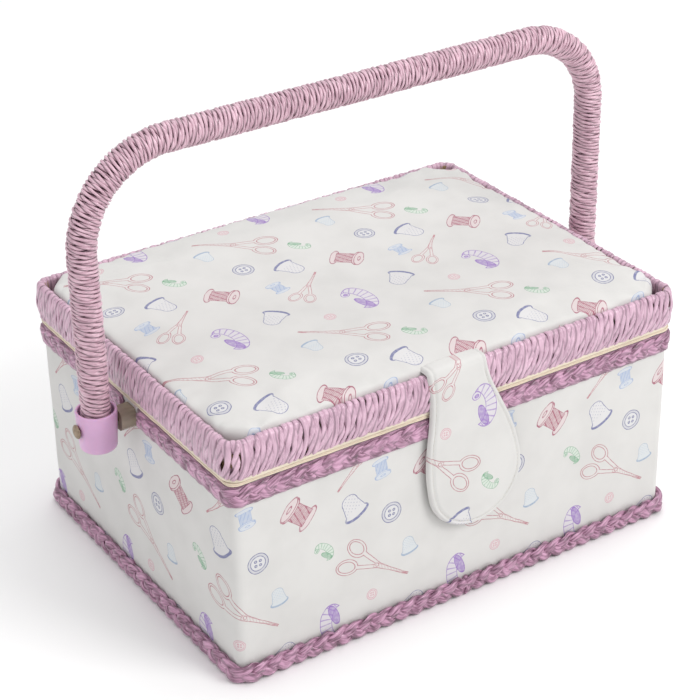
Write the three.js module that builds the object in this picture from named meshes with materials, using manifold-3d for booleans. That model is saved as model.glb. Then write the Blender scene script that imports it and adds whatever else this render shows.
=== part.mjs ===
// A fabric-covered sewing box: a padded lid on a cloth hinge, a swinging handle, a hanging tab with a
// magnet, and two compartment trays that slide on ledges inside. Millimetres, +Z up, +X to the right,
// +Y to the back. The origin is the middle of the base board's underside.

import * as THREE from 'three';
import { mergeVertices } from 'three/addons/utils/BufferGeometryUtils.js';
import Module from 'manifold-3d';

const wasm = await Module();
wasm.setup();

// Driving dimensions.
const BODY_LENGTH = 304;
const BODY_DEPTH = 228;
const BODY_HEIGHT = 129;
const CORNER_RADIUS = 9;
const GAP = 0.3;
const SKIN = 1;
const BOARD = 3;

const BRAID_BULGE = 2;
const BRAID_STOP = 2;
const UPPER_BRAID_LOW = 116.2;
const UPPER_BRAID_HIGH = 128.4;
const LOWER_BRAID_LOW = 0.4;
const LOWER_BRAID_HIGH = 12.4;
const LOWER_BRAID_BULGE = 5;

const EDGE_BULGE = 1.2;
const EDGE_HEIGHT = 1.9;

const HINGE_TAPE_LENGTH = 270;
const HINGE_TAPE_THICKNESS = 0.8;

const LID_LOW = 131.7;
const LID_LINING = 2;
const RIM_OVERHANG = 2;
const RIM_HEIGHT = 22.8;
const RIM_WIDTH = 5;
const RIM_RADIUS = 12;
const WINDING = 1.6;
const LID_BOARD = 3;
const PAD_EDGE_RISE = 15;
const PAD_CROWN = 6.5;
const PAD_SLOPE = 15;
const PAD_RADIUS = 7.5;
const PAD_STEPS = 4;

const CUSHION = { length: 92, depth: 62, radius: 10, x: 78, y: 22, shoulder: 5, crown: 6, slope: 8 };
const POCKET = { length: 130, depth: 96, radius: 6, x: -70, y: 6, thickness: 2 };

const PIVOT_Y = -3;
const PIVOT_Z = 120.5;
const ARM_X = 174;
const HANDLE_TOP = 282;
const HANDLE_LEFT_RADIUS = 50;
const HANDLE_RIGHT_RADIUS = 47;
const GRIP_RADIUS = 8.5;
const CORE_RADIUS = 6.3;
const HANDLE_STEPS = 44;

const SOCKET_BELOW_PIVOT = 14.1;
const SOCKET_ABOVE_PIVOT = 10.6;
const SOCKET_TOP_RADIUS = 12;
const SOCKET_BOTTOM_RADIUS = 10.8;
const SOCKET_BORE_RADIUS = 10.4;
const SOCKET_FLOOR_ABOVE_PIVOT = 4;
const SOCKET_FOOT_ROUNDING = 2.5;
const SOCKET_LIP_ROUNDING = 0.6;
const PIN_RADIUS = 2;
const PIN_HOLE_RADIUS = 2.4;
const PIN_HEAD_RADIUS = 4.2;
const PIN_HEAD_HEIGHT = 2.2;
const PIN_HEAD_EDGE = 0.5;
const SPACER_RADIUS = 7.4;
const SPACER_SIDE = 12.6;
const WASHER_RADIUS = 4.8;
const WASHER_THICKNESS = 1.4;

const TAB_CENTRE_X = -7.5;
const TAB_LEAN = THREE.MathUtils.degToRad(10);
const TAB_TUCK = THREE.MathUtils.degToRad(0.5);
const TAB_TOP_HALF_WIDTH = 20;
const TAB_FULL_HALF_WIDTH = 32.5;
const TAB_LENGTH = 108;
const TAB_THICKNESS = 3.6;
const TONGUE_THICKNESS = 2.6;
const MAGNET_RADIUS = 7;
const MAGNET_THICKNESS = 1.6;

const TRAY_LENGTH = 138;
const TRAY_DEPTH = 32;
const TRAY_WALL = 1.8;
const TRAY_CORNER = 8;
const TRAY_FLANGE = 5;
const TRAY_FLANGE_THICKNESS = 2;
const TRAY_END_CLEARANCE = 2;
const TRAY_SIDE_CLEARANCE = 1;
const UPPER_TRAY_LONG_SHARE = 0.38;
const UPPER_TRAY_SMALL_CELLS = 3;
const LOWER_TRAY_LONG_SHARE = 0.5;
const LOWER_TRAY_SMALL_CELLS = 2;
const LEDGE_HEIGHT = 8;
const UPPER_LEDGE_WIDTH = 6;
const LOWER_LEDGE_WIDTH = 13;
const UPPER_LEDGE_TOP = 111;
const LOWER_LEDGE_TOP = 74;

// Sizes worked out from the driving ones.
const BOARD_LENGTH = BODY_LENGTH - 2 * (SKIN + GAP);
const BOARD_DEPTH = BODY_DEPTH - 2 * (SKIN + GAP);
const BOARD_RADIUS = CORNER_RADIUS - SKIN - GAP;
const INNER_LENGTH = BOARD_LENGTH - 2 * BOARD;
const INNER_DEPTH = BOARD_DEPTH - 2 * BOARD;
const INNER_RADIUS = BOARD_RADIUS - BOARD;
const LINING_LENGTH = INNER_LENGTH - 2 * (GAP + SKIN);
const LINING_DEPTH = INNER_DEPTH - 2 * (GAP + SKIN);
const LINING_RADIUS = INNER_RADIUS - SKIN;
const RIM_LENGTH = BODY_LENGTH + 2 * RIM_OVERHANG;
const RIM_DEPTH = BODY_DEPTH + 2 * RIM_OVERHANG;
const RIM_LOW = LID_LOW + LID_LINING + GAP;
const RIM_HIGH = RIM_LOW + RIM_HEIGHT;
const PAD_LENGTH = RIM_LENGTH - 2 * (RIM_WIDTH + GAP);
const PAD_DEPTH = RIM_DEPTH - 2 * (RIM_WIDTH + GAP);
const PAD_LOW = RIM_LOW + LID_BOARD + GAP;

const COLOURS = {
  print: 0xf1eee6,
  cream: 0xe9dfca,
  cord: 0xd0a6bf,
  braid: 0xa06b90,
  plastic: 0xd9aed6,
  board: 0xb49a72,
  foam: 0xf3efe0,
  brass: 0xa08c6c,
  amber: 0xa8957c,
  steel: 0x9a9da1,
  tray: 0xf4f1f2,
};

function material(colour, roughness, metalness = 0) {
  return new THREE.MeshStandardMaterial({ color: colour, roughness, metalness });
}

function part(name, geometry, colour, roughness, metalness) {
  const mesh = new THREE.Mesh(geometry, material(colour, roughness, metalness));
  mesh.name = name;
  return mesh;
}

// A rectangle with round corners, centred on the origin.
function roundedRectangle(length, depth, radius, Kind = THREE.Shape) {
  const x = length / 2 - radius;
  const y = depth / 2 - radius;
  const outline = new Kind();
  outline.absarc(x, y, radius, 0, Math.PI / 2);
  outline.absarc(-x, y, radius, Math.PI / 2, Math.PI);
  outline.absarc(-x, -y, radius, Math.PI, 1.5 * Math.PI);
  outline.absarc(x, -y, radius, 1.5 * Math.PI, 2 * Math.PI);
  outline.closePath();
  return outline;
}

function prism(shape, low, high, curveSegments = 3) {
  const options = { depth: high - low, bevelEnabled: false, curveSegments };
  return new THREE.ExtrudeGeometry(shape, options).translate(0, 0, low);
}

// A rounded frame: an outer outline with an inner one cut out of it.
function frame(length, depth, radius, width, low, high) {
  const shape = roundedRectangle(length, depth, radius);
  const innerRadius = Math.max(radius - width, 1);
  shape.holes.push(roundedRectangle(length - 2 * width, depth - 2 * width, innerRadius, THREE.Path));
  return prism(shape, low, high);
}

function box(x0, x1, y0, y1, z0, z1) {
  const geometry = new THREE.BoxGeometry(x1 - x0, y1 - y0, z1 - z0);
  return geometry.translate((x0 + x1) / 2, (y0 + y1) / 2, (z0 + z1) / 2);
}

// A cylinder along X from x0 to x1.
function barAlongX(x0, x1, radius, y, z, segments = 20) {
  const geometry = new THREE.CylinderGeometry(radius, radius, x1 - x0, segments);
  return geometry.rotateZ(-Math.PI / 2).translate((x0 + x1) / 2, y, z);
}

// A cylinder along Y from y0 to y1.
function barAlongY(y0, y1, radius, x, z, segments = 24) {
  return new THREE.CylinderGeometry(radius, radius, y1 - y0, segments).translate(x, (y0 + y1) / 2, z);
}

function toSolid(geometry) {
  const bare = geometry.clone();
  bare.deleteAttribute('normal');
  bare.deleteAttribute('uv');
  const merged = mergeVertices(bare, 1e-4);
  return new wasm.Manifold(new wasm.Mesh({
    numProp: 3,
    vertProperties: new Float32Array(merged.attributes.position.array),
    triVerts: new Uint32Array(merged.index.array),
  }));
}

function toGeometry(solid) {
  const mesh = solid.getMesh();
  const geometry = new THREE.BufferGeometry();
  geometry.setAttribute('position', new THREE.BufferAttribute(new Float32Array(mesh.vertProperties), 3));
  geometry.setIndex(new THREE.BufferAttribute(new Uint32Array(mesh.triVerts), 1));
  geometry.computeVertexNormals();
  return geometry;
}

function cut(geometry, ...tools) {
  return toGeometry(tools.reduce((solid, tool) => solid.subtract(toSolid(tool)), toSolid(geometry)));
}

function keep(geometry, tool) {
  return toGeometry(toSolid(geometry).intersect(toSolid(tool)));
}

function join(geometry, ...others) {
  return toGeometry(others.reduce((solid, other) => solid.add(toSolid(other)), toSolid(geometry)));
}

// A block whose top edge falls away in a round slope, like a filled pad.
function crownedPad(length, depth, radius, low, shoulder, crown, slope) {
  const options = {
    depth: 2 * (shoulder - low),
    bevelEnabled: true,
    bevelThickness: crown,
    bevelSize: slope,
    bevelOffset: -slope,
    bevelSegments: PAD_STEPS,
    curveSegments: 3,
  };
  const shape = roundedRectangle(length, depth, radius + slope);
  const whole = new THREE.ExtrudeGeometry(shape, options).translate(0, 0, 2 * low - shoulder);
  return keep(whole, box(-length, length, -depth, depth, low, shoulder + 2 * crown));
}

// The holes that the two handle pins pass through.
const pinHoles = barAlongX(-BODY_LENGTH, BODY_LENGTH, PIN_HOLE_RADIUS, PIVOT_Y, PIVOT_Z);

// The four walls are cut from one bent frame, so that their outer corners stay round.
function addBoards(group) {
  const walls = frame(BOARD_LENGTH, BOARD_DEPTH, BOARD_RADIUS, BOARD, BOARD + GAP, BODY_HEIGHT - GAP);
  const half = BOARD_DEPTH / 2;
  const seam = half - BOARD - GAP;
  const far = BODY_LENGTH;
  const keeperRecess = barAlongY(-half - 1, -half + MAGNET_THICKNESS + GAP, MAGNET_RADIUS + GAP,
    tabTipX(), tabTipZ());
  const front = keep(walls, box(-far, far, -far, -seam - GAP, -1, BODY_HEIGHT));
  const back = keep(walls, box(-far, far, seam + GAP, far, -1, BODY_HEIGHT));
  const left = keep(walls, box(-far, 0, -seam, seam, -1, BODY_HEIGHT));
  const right = keep(walls, box(0, far, -seam, seam, -1, BODY_HEIGHT));
  const base = prism(roundedRectangle(BOARD_LENGTH, BOARD_DEPTH, BOARD_RADIUS), 0, BOARD);
  group.add(part('base_board', base, COLOURS.cream, 0.9));
  group.add(part('front_board', cut(front, keeperRecess), COLOURS.board, 0.85));
  group.add(part('back_board', back, COLOURS.board, 0.85));
  group.add(part('left_board', cut(left, pinHoles), COLOURS.board, 0.85));
  group.add(part('right_board', cut(right, pinHoles), COLOURS.board, 0.85));
  const keeper = barAlongY(-half, -half + MAGNET_THICKNESS, MAGNET_RADIUS, tabTipX(), tabTipZ());
  group.add(part('front_keeper_plate', keeper, COLOURS.steel, 0.4, 1));
}

function addCovers(group) {
  const outside = frame(BODY_LENGTH, BODY_DEPTH, CORNER_RADIUS, SKIN, LOWER_BRAID_LOW, BODY_HEIGHT);
  group.add(part('body_cover', cut(outside, pinHoles), COLOURS.print, 0.85));
  const low = BOARD + GAP;
  const bagOutline = roundedRectangle(INNER_LENGTH - 2 * GAP, INNER_DEPTH - 2 * GAP, INNER_RADIUS);
  const bag = prism(bagOutline, low, BODY_HEIGHT - GAP);
  const hollowOutline = roundedRectangle(LINING_LENGTH, LINING_DEPTH, LINING_RADIUS);
  const hollow = prism(hollowOutline, low + SKIN, BODY_HEIGHT + 1);
  group.add(part('body_lining', cut(bag, hollow, pinHoles), COLOURS.cream, 0.8));
  const edgeWidth = (BODY_LENGTH - LINING_LENGTH) / 2 + EDGE_BULGE;
  const edgeLow = BODY_HEIGHT + GAP;
  const edge = frame(BODY_LENGTH + 2 * EDGE_BULGE, BODY_DEPTH + 2 * EDGE_BULGE, CORNER_RADIUS + EDGE_BULGE,
    edgeWidth, edgeLow, edgeLow + EDGE_HEIGHT);
  group.add(part('body_edge_piping', edge, COLOURS.cream, 0.5));
}

// The upper braid is in two halves, because it stops on both sides of each handle spacer.
function addBraids(group) {
  const braid = (bulge, low, high) => frame(BODY_LENGTH + 2 * bulge, BODY_DEPTH + 2 * bulge,
    CORNER_RADIUS + bulge, bulge - GAP, low, high);
  const upper = braid(BRAID_BULGE, UPPER_BRAID_LOW, UPPER_BRAID_HIGH);
  const room = SPACER_RADIUS + BRAID_STOP;
  const far = BODY_LENGTH;
  const front = keep(upper, box(-far, far, -far, PIVOT_Y - room, 0, BODY_HEIGHT));
  const back = keep(upper, box(-far, far, PIVOT_Y + room, far, 0, BODY_HEIGHT));
  group.add(part('upper_braid_front', front, COLOURS.braid, 0.55));
  group.add(part('upper_braid_back', back, COLOURS.braid, 0.55));
  const lower = braid(LOWER_BRAID_BULGE, LOWER_BRAID_LOW, LOWER_BRAID_HIGH);
  group.add(part('lower_braid', lower, COLOURS.braid, 0.55));
}

function addLedges(group) {
  const ledges = [
    ['upper', UPPER_LEDGE_WIDTH, UPPER_LEDGE_TOP],
    ['lower', LOWER_LEDGE_WIDTH, LOWER_LEDGE_TOP],
  ];
  const halfLength = LINING_LENGTH / 2 - LINING_RADIUS;
  const wall = LINING_DEPTH / 2 - GAP;
  for (const [level, width, top] of ledges) {
    const front = box(-halfLength, halfLength, -wall, -wall + width, top - LEDGE_HEIGHT, top);
    const back = box(-halfLength, halfLength, wall - width, wall, top - LEDGE_HEIGHT, top);
    group.add(part(`${level}_ledge_front`, front, COLOURS.cream, 0.8));
    group.add(part(`${level}_ledge_back`, back, COLOURS.cream, 0.8));
  }
}

function addHingeTape(group) {
  const half = HINGE_TAPE_LENGTH / 2;
  const inner = BODY_DEPTH / 2 + EDGE_BULGE + GAP;
  const tape = box(-half, half, inner, inner + HINGE_TAPE_THICKNESS, BODY_HEIGHT, LID_LOW - GAP);
  group.add(part('hinge_tape', tape, COLOURS.cream, 0.8));
}

// A spacer stands between the wall and the socket, and a washer holds the pin inside the box.
function addPivotFittings(group, side, sign) {
  const wall = BODY_LENGTH / 2 + GAP;
  const reach = ARM_X - SOCKET_TOP_RADIUS - GAP;
  const block = new THREE.BoxGeometry(reach - wall, SPACER_SIDE, SPACER_SIDE);
  block.translate((reach + wall) / 2, PIVOT_Y, PIVOT_Z);
  const round = barAlongX(wall, reach, SPACER_RADIUS, PIVOT_Y, PIVOT_Z, 24);
  const spacer = cut(keep(round, block), pinHoles);
  const inside = LINING_LENGTH / 2 - GAP;
  const plate = barAlongX(inside - WASHER_THICKNESS, inside, WASHER_RADIUS, PIVOT_Y, PIVOT_Z);
  const washer = cut(plate, pinHoles);
  if (sign < 0) {
    spacer.rotateZ(Math.PI).translate(0, 2 * PIVOT_Y, 0);
    washer.rotateZ(Math.PI).translate(0, 2 * PIVOT_Y, 0);
  }
  group.add(part(`handle_spacer_${side}`, spacer, COLOURS.amber, 0.35));
  group.add(part(`rivet_washer_${side}`, washer, COLOURS.brass, 0.4, 1));
}

// A pin with a domed head outside the socket and a flat end inside the washer.
function handlePin(side, sign) {
  const headInner = ARM_X + SOCKET_TOP_RADIUS + GAP;
  const end = LINING_LENGTH / 2 - GAP - WASHER_THICKNESS - GAP;
  const dome = [new THREE.Vector2(0, 0), new THREE.Vector2(PIN_HEAD_RADIUS, 0)];
  const steps = 4;
  for (let i = 0; i <= steps; i += 1) {
    const angle = (i / steps) * (Math.PI / 2);
    const x = i === steps ? 0 : PIN_HEAD_RADIUS * Math.cos(angle);
    dome.push(new THREE.Vector2(x, PIN_HEAD_EDGE + (PIN_HEAD_HEIGHT - PIN_HEAD_EDGE) * Math.sin(angle)));
  }
  const head = new THREE.LatheGeometry(dome, 20).rotateZ(-Math.PI / 2);
  head.translate(headInner, PIVOT_Y, PIVOT_Z);
  const shank = barAlongX(end, headInner + PIN_HEAD_EDGE, PIN_RADIUS, PIVOT_Y, PIVOT_Z, 16);
  const pin = join(shank, head);
  if (sign < 0) {
    pin.rotateZ(Math.PI).translate(0, 2 * PIVOT_Y, 0);
  }
  return part(`handle_rivet_${side}`, pin, COLOURS.brass, 0.35, 1);
}

// The handle's centre line: up one arm, over two round corners and down the other arm. The hand-bent
// corners aren't alike, so each side has its own radius.
class BailCurve extends THREE.Curve {
  constructor(halfWidth, foot, top, leftRadius, rightRadius) {
    super();
    this.halfWidth = halfWidth;
    this.foot = foot;
    this.top = top;
    this.leftRadius = leftRadius;
    this.rightRadius = rightRadius;
  }

  sideLength(radius) {
    return this.top - radius - this.foot + (radius * Math.PI) / 2 + this.halfWidth - radius;
  }

  getPoint(t, target = new THREE.Vector3()) {
    const left = this.sideLength(this.leftRadius);
    const right = this.sideLength(this.rightRadius);
    const along = t * (left + right);
    if (along < left) {
      return this.pointOnSide(along, -1, this.leftRadius, target);
    }
    return this.pointOnSide(left + right - along, 1, this.rightRadius, target);
  }

  pointOnSide(along, side, radius, target) {
    const arm = this.top - radius - this.foot;
    const bend = (radius * Math.PI) / 2;
    if (along <= arm) {
      return target.set(side * this.halfWidth, 0, this.foot + along);
    }
    if (along <= arm + bend) {
      const angle = (along - arm) / radius;
      const x = this.halfWidth - radius * (1 - Math.cos(angle));
      return target.set(side * x, 0, this.top - radius * (1 - Math.sin(angle)));
    }
    return target.set(side * (this.sideLength(radius) - along), 0, this.top);
  }
}

function sweep(shape, path) {
  const options = { steps: HANDLE_STEPS, extrudePath: path, bevelEnabled: false, curveSegments: 6 };
  return new THREE.ExtrudeGeometry(shape, options);
}

function disc(radius, Kind = THREE.Shape) {
  const outline = new Kind();
  outline.absarc(0, 0, radius, 0, 2 * Math.PI);
  return outline;
}

function socket() {
  const low = -SOCKET_BELOW_PIVOT;
  const high = SOCKET_ABOVE_PIVOT;
  const bore = SOCKET_BORE_RADIUS;
  const profile = [
    [0, low],
    [SOCKET_BOTTOM_RADIUS - SOCKET_FOOT_ROUNDING, low],
    [SOCKET_BOTTOM_RADIUS, low + SOCKET_FOOT_ROUNDING],
    [SOCKET_TOP_RADIUS, high - SOCKET_LIP_ROUNDING],
    [SOCKET_TOP_RADIUS - SOCKET_LIP_ROUNDING, high],
    [bore, high],
    [bore, SOCKET_FLOOR_ABOVE_PIVOT],
    [0, SOCKET_FLOOR_ABOVE_PIVOT],
  ].map(([x, y]) => new THREE.Vector2(x, y));
  const cup = new THREE.LatheGeometry(profile, 28).rotateX(Math.PI / 2);
  return cut(cup, barAlongX(-2 * SOCKET_TOP_RADIUS, 2 * SOCKET_TOP_RADIUS, PIN_HOLE_RADIUS, 0, 0));
}

function handle() {
  const group = new THREE.Group();
  const foot = PIVOT_Z + SOCKET_FLOOR_ABOVE_PIVOT + GAP;
  const path = new BailCurve(ARM_X, foot, HANDLE_TOP, HANDLE_LEFT_RADIUS, HANDLE_RIGHT_RADIUS);
  const winding = disc(GRIP_RADIUS);
  winding.holes.push(disc(CORE_RADIUS + GAP, THREE.Path));
  const grip = part('handle_winding', sweep(winding, path), COLOURS.cord, 0.4);
  const core = part('handle_core', sweep(disc(CORE_RADIUS), path), COLOURS.board, 0.8);
  grip.position.y = PIVOT_Y;
  core.position.y = PIVOT_Y;
  group.add(grip, core);
  for (const [side, sign] of [['left', -1], ['right', 1]]) {
    const cup = part(`handle_socket_${side}`, socket(), COLOURS.plastic, 0.3);
    cup.position.set(sign * ARM_X, PIVOT_Y, PIVOT_Z);
    group.add(cup);
  }
  return group;
}

// The rim is a wooden core with cord wound over its top, outside and underside.
function addRim(group) {
  const core = frame(RIM_LENGTH - 2 * (WINDING + GAP), RIM_DEPTH - 2 * (WINDING + GAP), RIM_RADIUS - WINDING,
    RIM_WIDTH - 2 * WINDING - GAP, RIM_LOW + WINDING + GAP, RIM_HIGH - WINDING - GAP);
  const winding = frame(RIM_LENGTH, RIM_DEPTH, RIM_RADIUS, RIM_WIDTH, RIM_LOW, RIM_HIGH);
  const channel = frame(RIM_LENGTH - 2 * WINDING, RIM_DEPTH - 2 * WINDING, RIM_RADIUS - WINDING,
    RIM_WIDTH, RIM_LOW + WINDING, RIM_HIGH - WINDING);
  group.add(part('lid_rim_core', core, COLOURS.board, 0.8));
  group.add(part('lid_rim_winding', cut(winding, channel), COLOURS.cord, 0.4));
}

function addPaddedTop(group) {
  const board = prism(roundedRectangle(PAD_LENGTH, PAD_DEPTH, PAD_RADIUS), RIM_LOW, RIM_LOW + LID_BOARD);
  group.add(part('lid_board', board, COLOURS.board, 0.85));
  const shoulder = PAD_LOW + PAD_EDGE_RISE;
  const cover = crownedPad(PAD_LENGTH, PAD_DEPTH, PAD_RADIUS, PAD_LOW, shoulder, PAD_CROWN, PAD_SLOPE);
  const inset = SKIN + GAP;
  const inside = (clearance) => crownedPad(PAD_LENGTH - 2 * clearance, PAD_DEPTH - 2 * clearance, PAD_RADIUS,
    PAD_LOW - (clearance < inset ? 1 : 0), shoulder - clearance, PAD_CROWN, PAD_SLOPE);
  group.add(part('lid_cover', cut(cover, inside(SKIN)), COLOURS.print, 0.85));
  group.add(part('lid_foam', inside(inset), COLOURS.foam, 0.95));
}

function addLidLining(group) {
  const lining = prism(roundedRectangle(BODY_LENGTH + 2 * EDGE_BULGE, BODY_DEPTH + 2 * EDGE_BULGE,
    CORNER_RADIUS), LID_LOW, LID_LOW + LID_LINING);
  group.add(part('lid_lining', lining, COLOURS.cream, 0.6));
  const under = LID_LOW - GAP;
  const cushion = crownedPad(CUSHION.length, CUSHION.depth, CUSHION.radius, 0, CUSHION.shoulder,
    CUSHION.crown, CUSHION.slope);
  cushion.rotateX(Math.PI).translate(CUSHION.x, CUSHION.y, under);
  group.add(part('pin_cushion', cushion, COLOURS.print, 0.85));
  const outline = roundedRectangle(POCKET.length, POCKET.depth, POCKET.radius);
  const pocket = prism(outline, under - POCKET.thickness, under).translate(POCKET.x, POCKET.y, 0);
  group.add(part('lid_pocket', pocket, COLOURS.print, 0.85));
}

// The outline starts a little too high, so that its leaned top edge can be cut level.
function tabOutline() {
  const round = TAB_FULL_HALF_WIDTH;
  const low = -TAB_LENGTH;
  const outline = new THREE.Shape();
  outline.moveTo(-TAB_TOP_HALF_WIDTH, TAB_THICKNESS);
  outline.lineTo(-TAB_TOP_HALF_WIDTH, 0);
  outline.bezierCurveTo(-TAB_TOP_HALF_WIDTH, low * 0.3, -round, low * 0.38, -round, low + round);
  outline.absarc(0, low + round, round, Math.PI, 2 * Math.PI);
  outline.bezierCurveTo(round, low * 0.38, TAB_TOP_HALF_WIDTH, low * 0.3, TAB_TOP_HALF_WIDTH, 0);
  outline.lineTo(TAB_TOP_HALF_WIDTH, TAB_THICKNESS);
  outline.closePath();
  return outline;
}

function tabTipX() {
  return TAB_CENTRE_X + (TAB_LENGTH - TAB_FULL_HALF_WIDTH) * Math.sin(TAB_LEAN);
}

function tabTipZ() {
  return RIM_HIGH - (TAB_LENGTH - TAB_FULL_HALF_WIDTH) * Math.cos(TAB_LEAN);
}

// The hanging flap, built upright in the XZ plane with its back face at y = 0, then leaned and tucked in.
function claspTab() {
  const group = new THREE.Group();
  const slab = prism(tabOutline(), 0, TAB_THICKNESS, 8).rotateX(Math.PI / 2);
  const magnetZ = -(TAB_LENGTH - TAB_FULL_HALF_WIDTH);
  const pocket = barAlongY(-MAGNET_THICKNESS - GAP, 1, MAGNET_RADIUS + GAP, 0, magnetZ);
  const magnet = barAlongY(-MAGNET_THICKNESS, 0, MAGNET_RADIUS, 0, magnetZ);
  const below = box(-TAB_LENGTH, TAB_LENGTH, -TAB_LENGTH, TAB_LENGTH, -2 * TAB_LENGTH, 0);
  const leaned = cut(slab, pocket).rotateY(-TAB_LEAN);
  group.add(part('tab_flap', keep(leaned, below), COLOURS.print, 0.85));
  group.add(part('tab_magnet', magnet.rotateY(-TAB_LEAN), COLOURS.steel, 0.4, 1));
  group.rotation.x = TAB_TUCK;
  group.position.set(TAB_CENTRE_X, -RIM_DEPTH / 2 - 2 * GAP, RIM_HIGH + GAP);
  return group;
}

function addTabTongue(group) {
  const front = -RIM_DEPTH / 2 - GAP;
  const x = TAB_CENTRE_X;
  const half = TAB_TOP_HALF_WIDTH;
  const tongue = box(x - half, x + half, front, front + RIM_WIDTH + GAP, RIM_HIGH + GAP,
    RIM_HIGH + GAP + TONGUE_THICKNESS);
  group.add(part('tab_tongue', tongue, COLOURS.print, 0.85));
}

// A moulded tray: rounded box, flange round its mouth, and pockets cut into it by list of rectangles.
function tray(name, width, top, cells) {
  const bodyTop = top + TRAY_FLANGE_THICKNESS;
  const low = bodyTop - TRAY_DEPTH;
  const length = TRAY_LENGTH - 2 * TRAY_WALL;
  const body = prism(roundedRectangle(length, width, TRAY_CORNER), low, bodyTop);
  const flange = prism(roundedRectangle(TRAY_LENGTH, width + 2 * TRAY_FLANGE, TRAY_CORNER), top, bodyTop);
  const pockets = cells.map(([x0, x1, y0, y1]) => {
    const shape = roundedRectangle(x1 - x0 - TRAY_WALL, y1 - y0 - TRAY_WALL, TRAY_CORNER - TRAY_WALL);
    const pocket = prism(shape, low + TRAY_WALL, bodyTop + 1, 2);
    return pocket.translate((x0 + x1) / 2, (y0 + y1) / 2, 0);
  });
  return part(name, cut(join(body, flange), ...pockets), COLOURS.tray, 0.35);
}

// Cells that fill a tray: one long one beside the wall, and the rest of the width in equal shares.
function trayCells(width, longShare, count) {
  const halfX = TRAY_LENGTH / 2 - TRAY_WALL - TRAY_WALL / 2;
  const halfY = width / 2 - TRAY_WALL / 2;
  const split = -halfX + 2 * halfX * longShare;
  const share = (2 * halfY) / count;
  const cells = [[-halfX, split, -halfY, halfY]];
  for (let i = 0; i < count; i += 1) {
    cells.push([split, halfX, -halfY + i * share, -halfY + (i + 1) * share]);
  }
  return cells;
}

function upperTray() {
  const width = LINING_DEPTH - 2 * (GAP + UPPER_LEDGE_WIDTH + TRAY_SIDE_CLEARANCE);
  const cells = trayCells(width, UPPER_TRAY_LONG_SHARE, UPPER_TRAY_SMALL_CELLS);
  const mesh = tray('upper_tray', width, UPPER_LEDGE_TOP + GAP, cells);
  mesh.position.x = -(LINING_LENGTH - TRAY_LENGTH) / 2 + TRAY_END_CLEARANCE;
  return mesh;
}

function lowerTray() {
  const width = LINING_DEPTH - 2 * (GAP + LOWER_LEDGE_WIDTH + TRAY_SIDE_CLEARANCE);
  const cells = trayCells(width, LOWER_TRAY_LONG_SHARE, LOWER_TRAY_SMALL_CELLS);
  const mesh = tray('lower_tray', width, LOWER_LEDGE_TOP + GAP, cells);
  mesh.position.x = (LINING_LENGTH - TRAY_LENGTH) / 2 - TRAY_END_CLEARANCE;
  return mesh;
}

function sewingBox() {
  const group = new THREE.Group();
  addBoards(group);
  addCovers(group);
  addBraids(group);
  addLedges(group);
  addHingeTape(group);
  const pins = new THREE.Group();
  for (const [side, sign] of [['left', -1], ['right', 1]]) {
    addPivotFittings(group, side, sign);
    pins.add(handlePin(side, sign));
  }
  const lid = new THREE.Group();
  addRim(lid);
  addPaddedTop(lid);
  addLidLining(lid);
  addTabTongue(lid);
  group.add(pins, lid, handle(), claspTab(), upperTray(), lowerTray());
  return group;
}

export default sewingBox();
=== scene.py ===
"""A fabric-covered sewing box with cord-wound rim and handle, plaited trims, a padded printed lid and trays.

Lengths are in millimetres until a mesh is made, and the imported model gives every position."""

import math

import bpy
import numpy as np
from mathutils import Matrix, Vector


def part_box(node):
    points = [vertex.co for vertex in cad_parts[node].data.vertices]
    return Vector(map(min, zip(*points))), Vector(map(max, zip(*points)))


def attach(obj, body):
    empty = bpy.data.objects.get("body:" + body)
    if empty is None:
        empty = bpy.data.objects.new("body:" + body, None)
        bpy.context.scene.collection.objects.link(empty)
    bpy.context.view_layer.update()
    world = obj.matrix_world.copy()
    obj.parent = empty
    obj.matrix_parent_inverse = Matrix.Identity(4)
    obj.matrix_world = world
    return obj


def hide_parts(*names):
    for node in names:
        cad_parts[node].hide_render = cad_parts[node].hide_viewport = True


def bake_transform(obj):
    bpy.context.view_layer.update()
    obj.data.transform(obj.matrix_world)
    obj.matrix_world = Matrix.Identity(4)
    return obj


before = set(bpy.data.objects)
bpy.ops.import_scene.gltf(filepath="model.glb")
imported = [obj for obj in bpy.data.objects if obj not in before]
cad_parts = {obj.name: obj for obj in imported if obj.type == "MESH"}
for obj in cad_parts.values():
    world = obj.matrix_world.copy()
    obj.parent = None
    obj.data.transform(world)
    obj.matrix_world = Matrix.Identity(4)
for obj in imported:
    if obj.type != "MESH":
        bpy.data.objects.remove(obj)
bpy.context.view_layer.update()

MM = 0.001
CAMERA_PLACE = (-0.5794, -0.8939, 0.7077)
CAMERA_AZIMUTH = 32.86
CAMERA_DOWN = 29.23
CAMERA_ROLL = -1.08
CAMERA_LENS = 103.55

PRINT_REPEAT = (87.5, 130.5)
PRINT_WARP = 0.25
WALL_PRINT = (-29.4, 160.95)
WALL_PRINT_TURN = (15.5, 60.0)
WALL_PRINT_DROP = (3.0, 14.0)
LID_PRINT = (71.3, 39.6)
LID_PRINT_SKEW = 0.0385
TAB_PRINT = (51.3, 18.0)
LINE = 0.17
CORNER_RADIUS = 5.5

HANDLE_TOP = 282.0
HANDLE_LEFT_RADIUS = 56.0
HANDLE_RIGHT_RADIUS = 48.0
HANDLE_RADIUS = 8.5
HANDLE_PITCH = 2.45
RIM_PITCH = 3.75

TAB_LEAN = math.radians(10)
TAB_TUCK = math.radians(0.5)
TAB_TOP_HALF = 20.0
TAB_FULL_HALF = 32.5
TAB_LENGTH = 108.0
TAB_THICKNESS = 3.4
TAB_BACK_SWELL = 0.2
STITCH_INSET = 3.2

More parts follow.
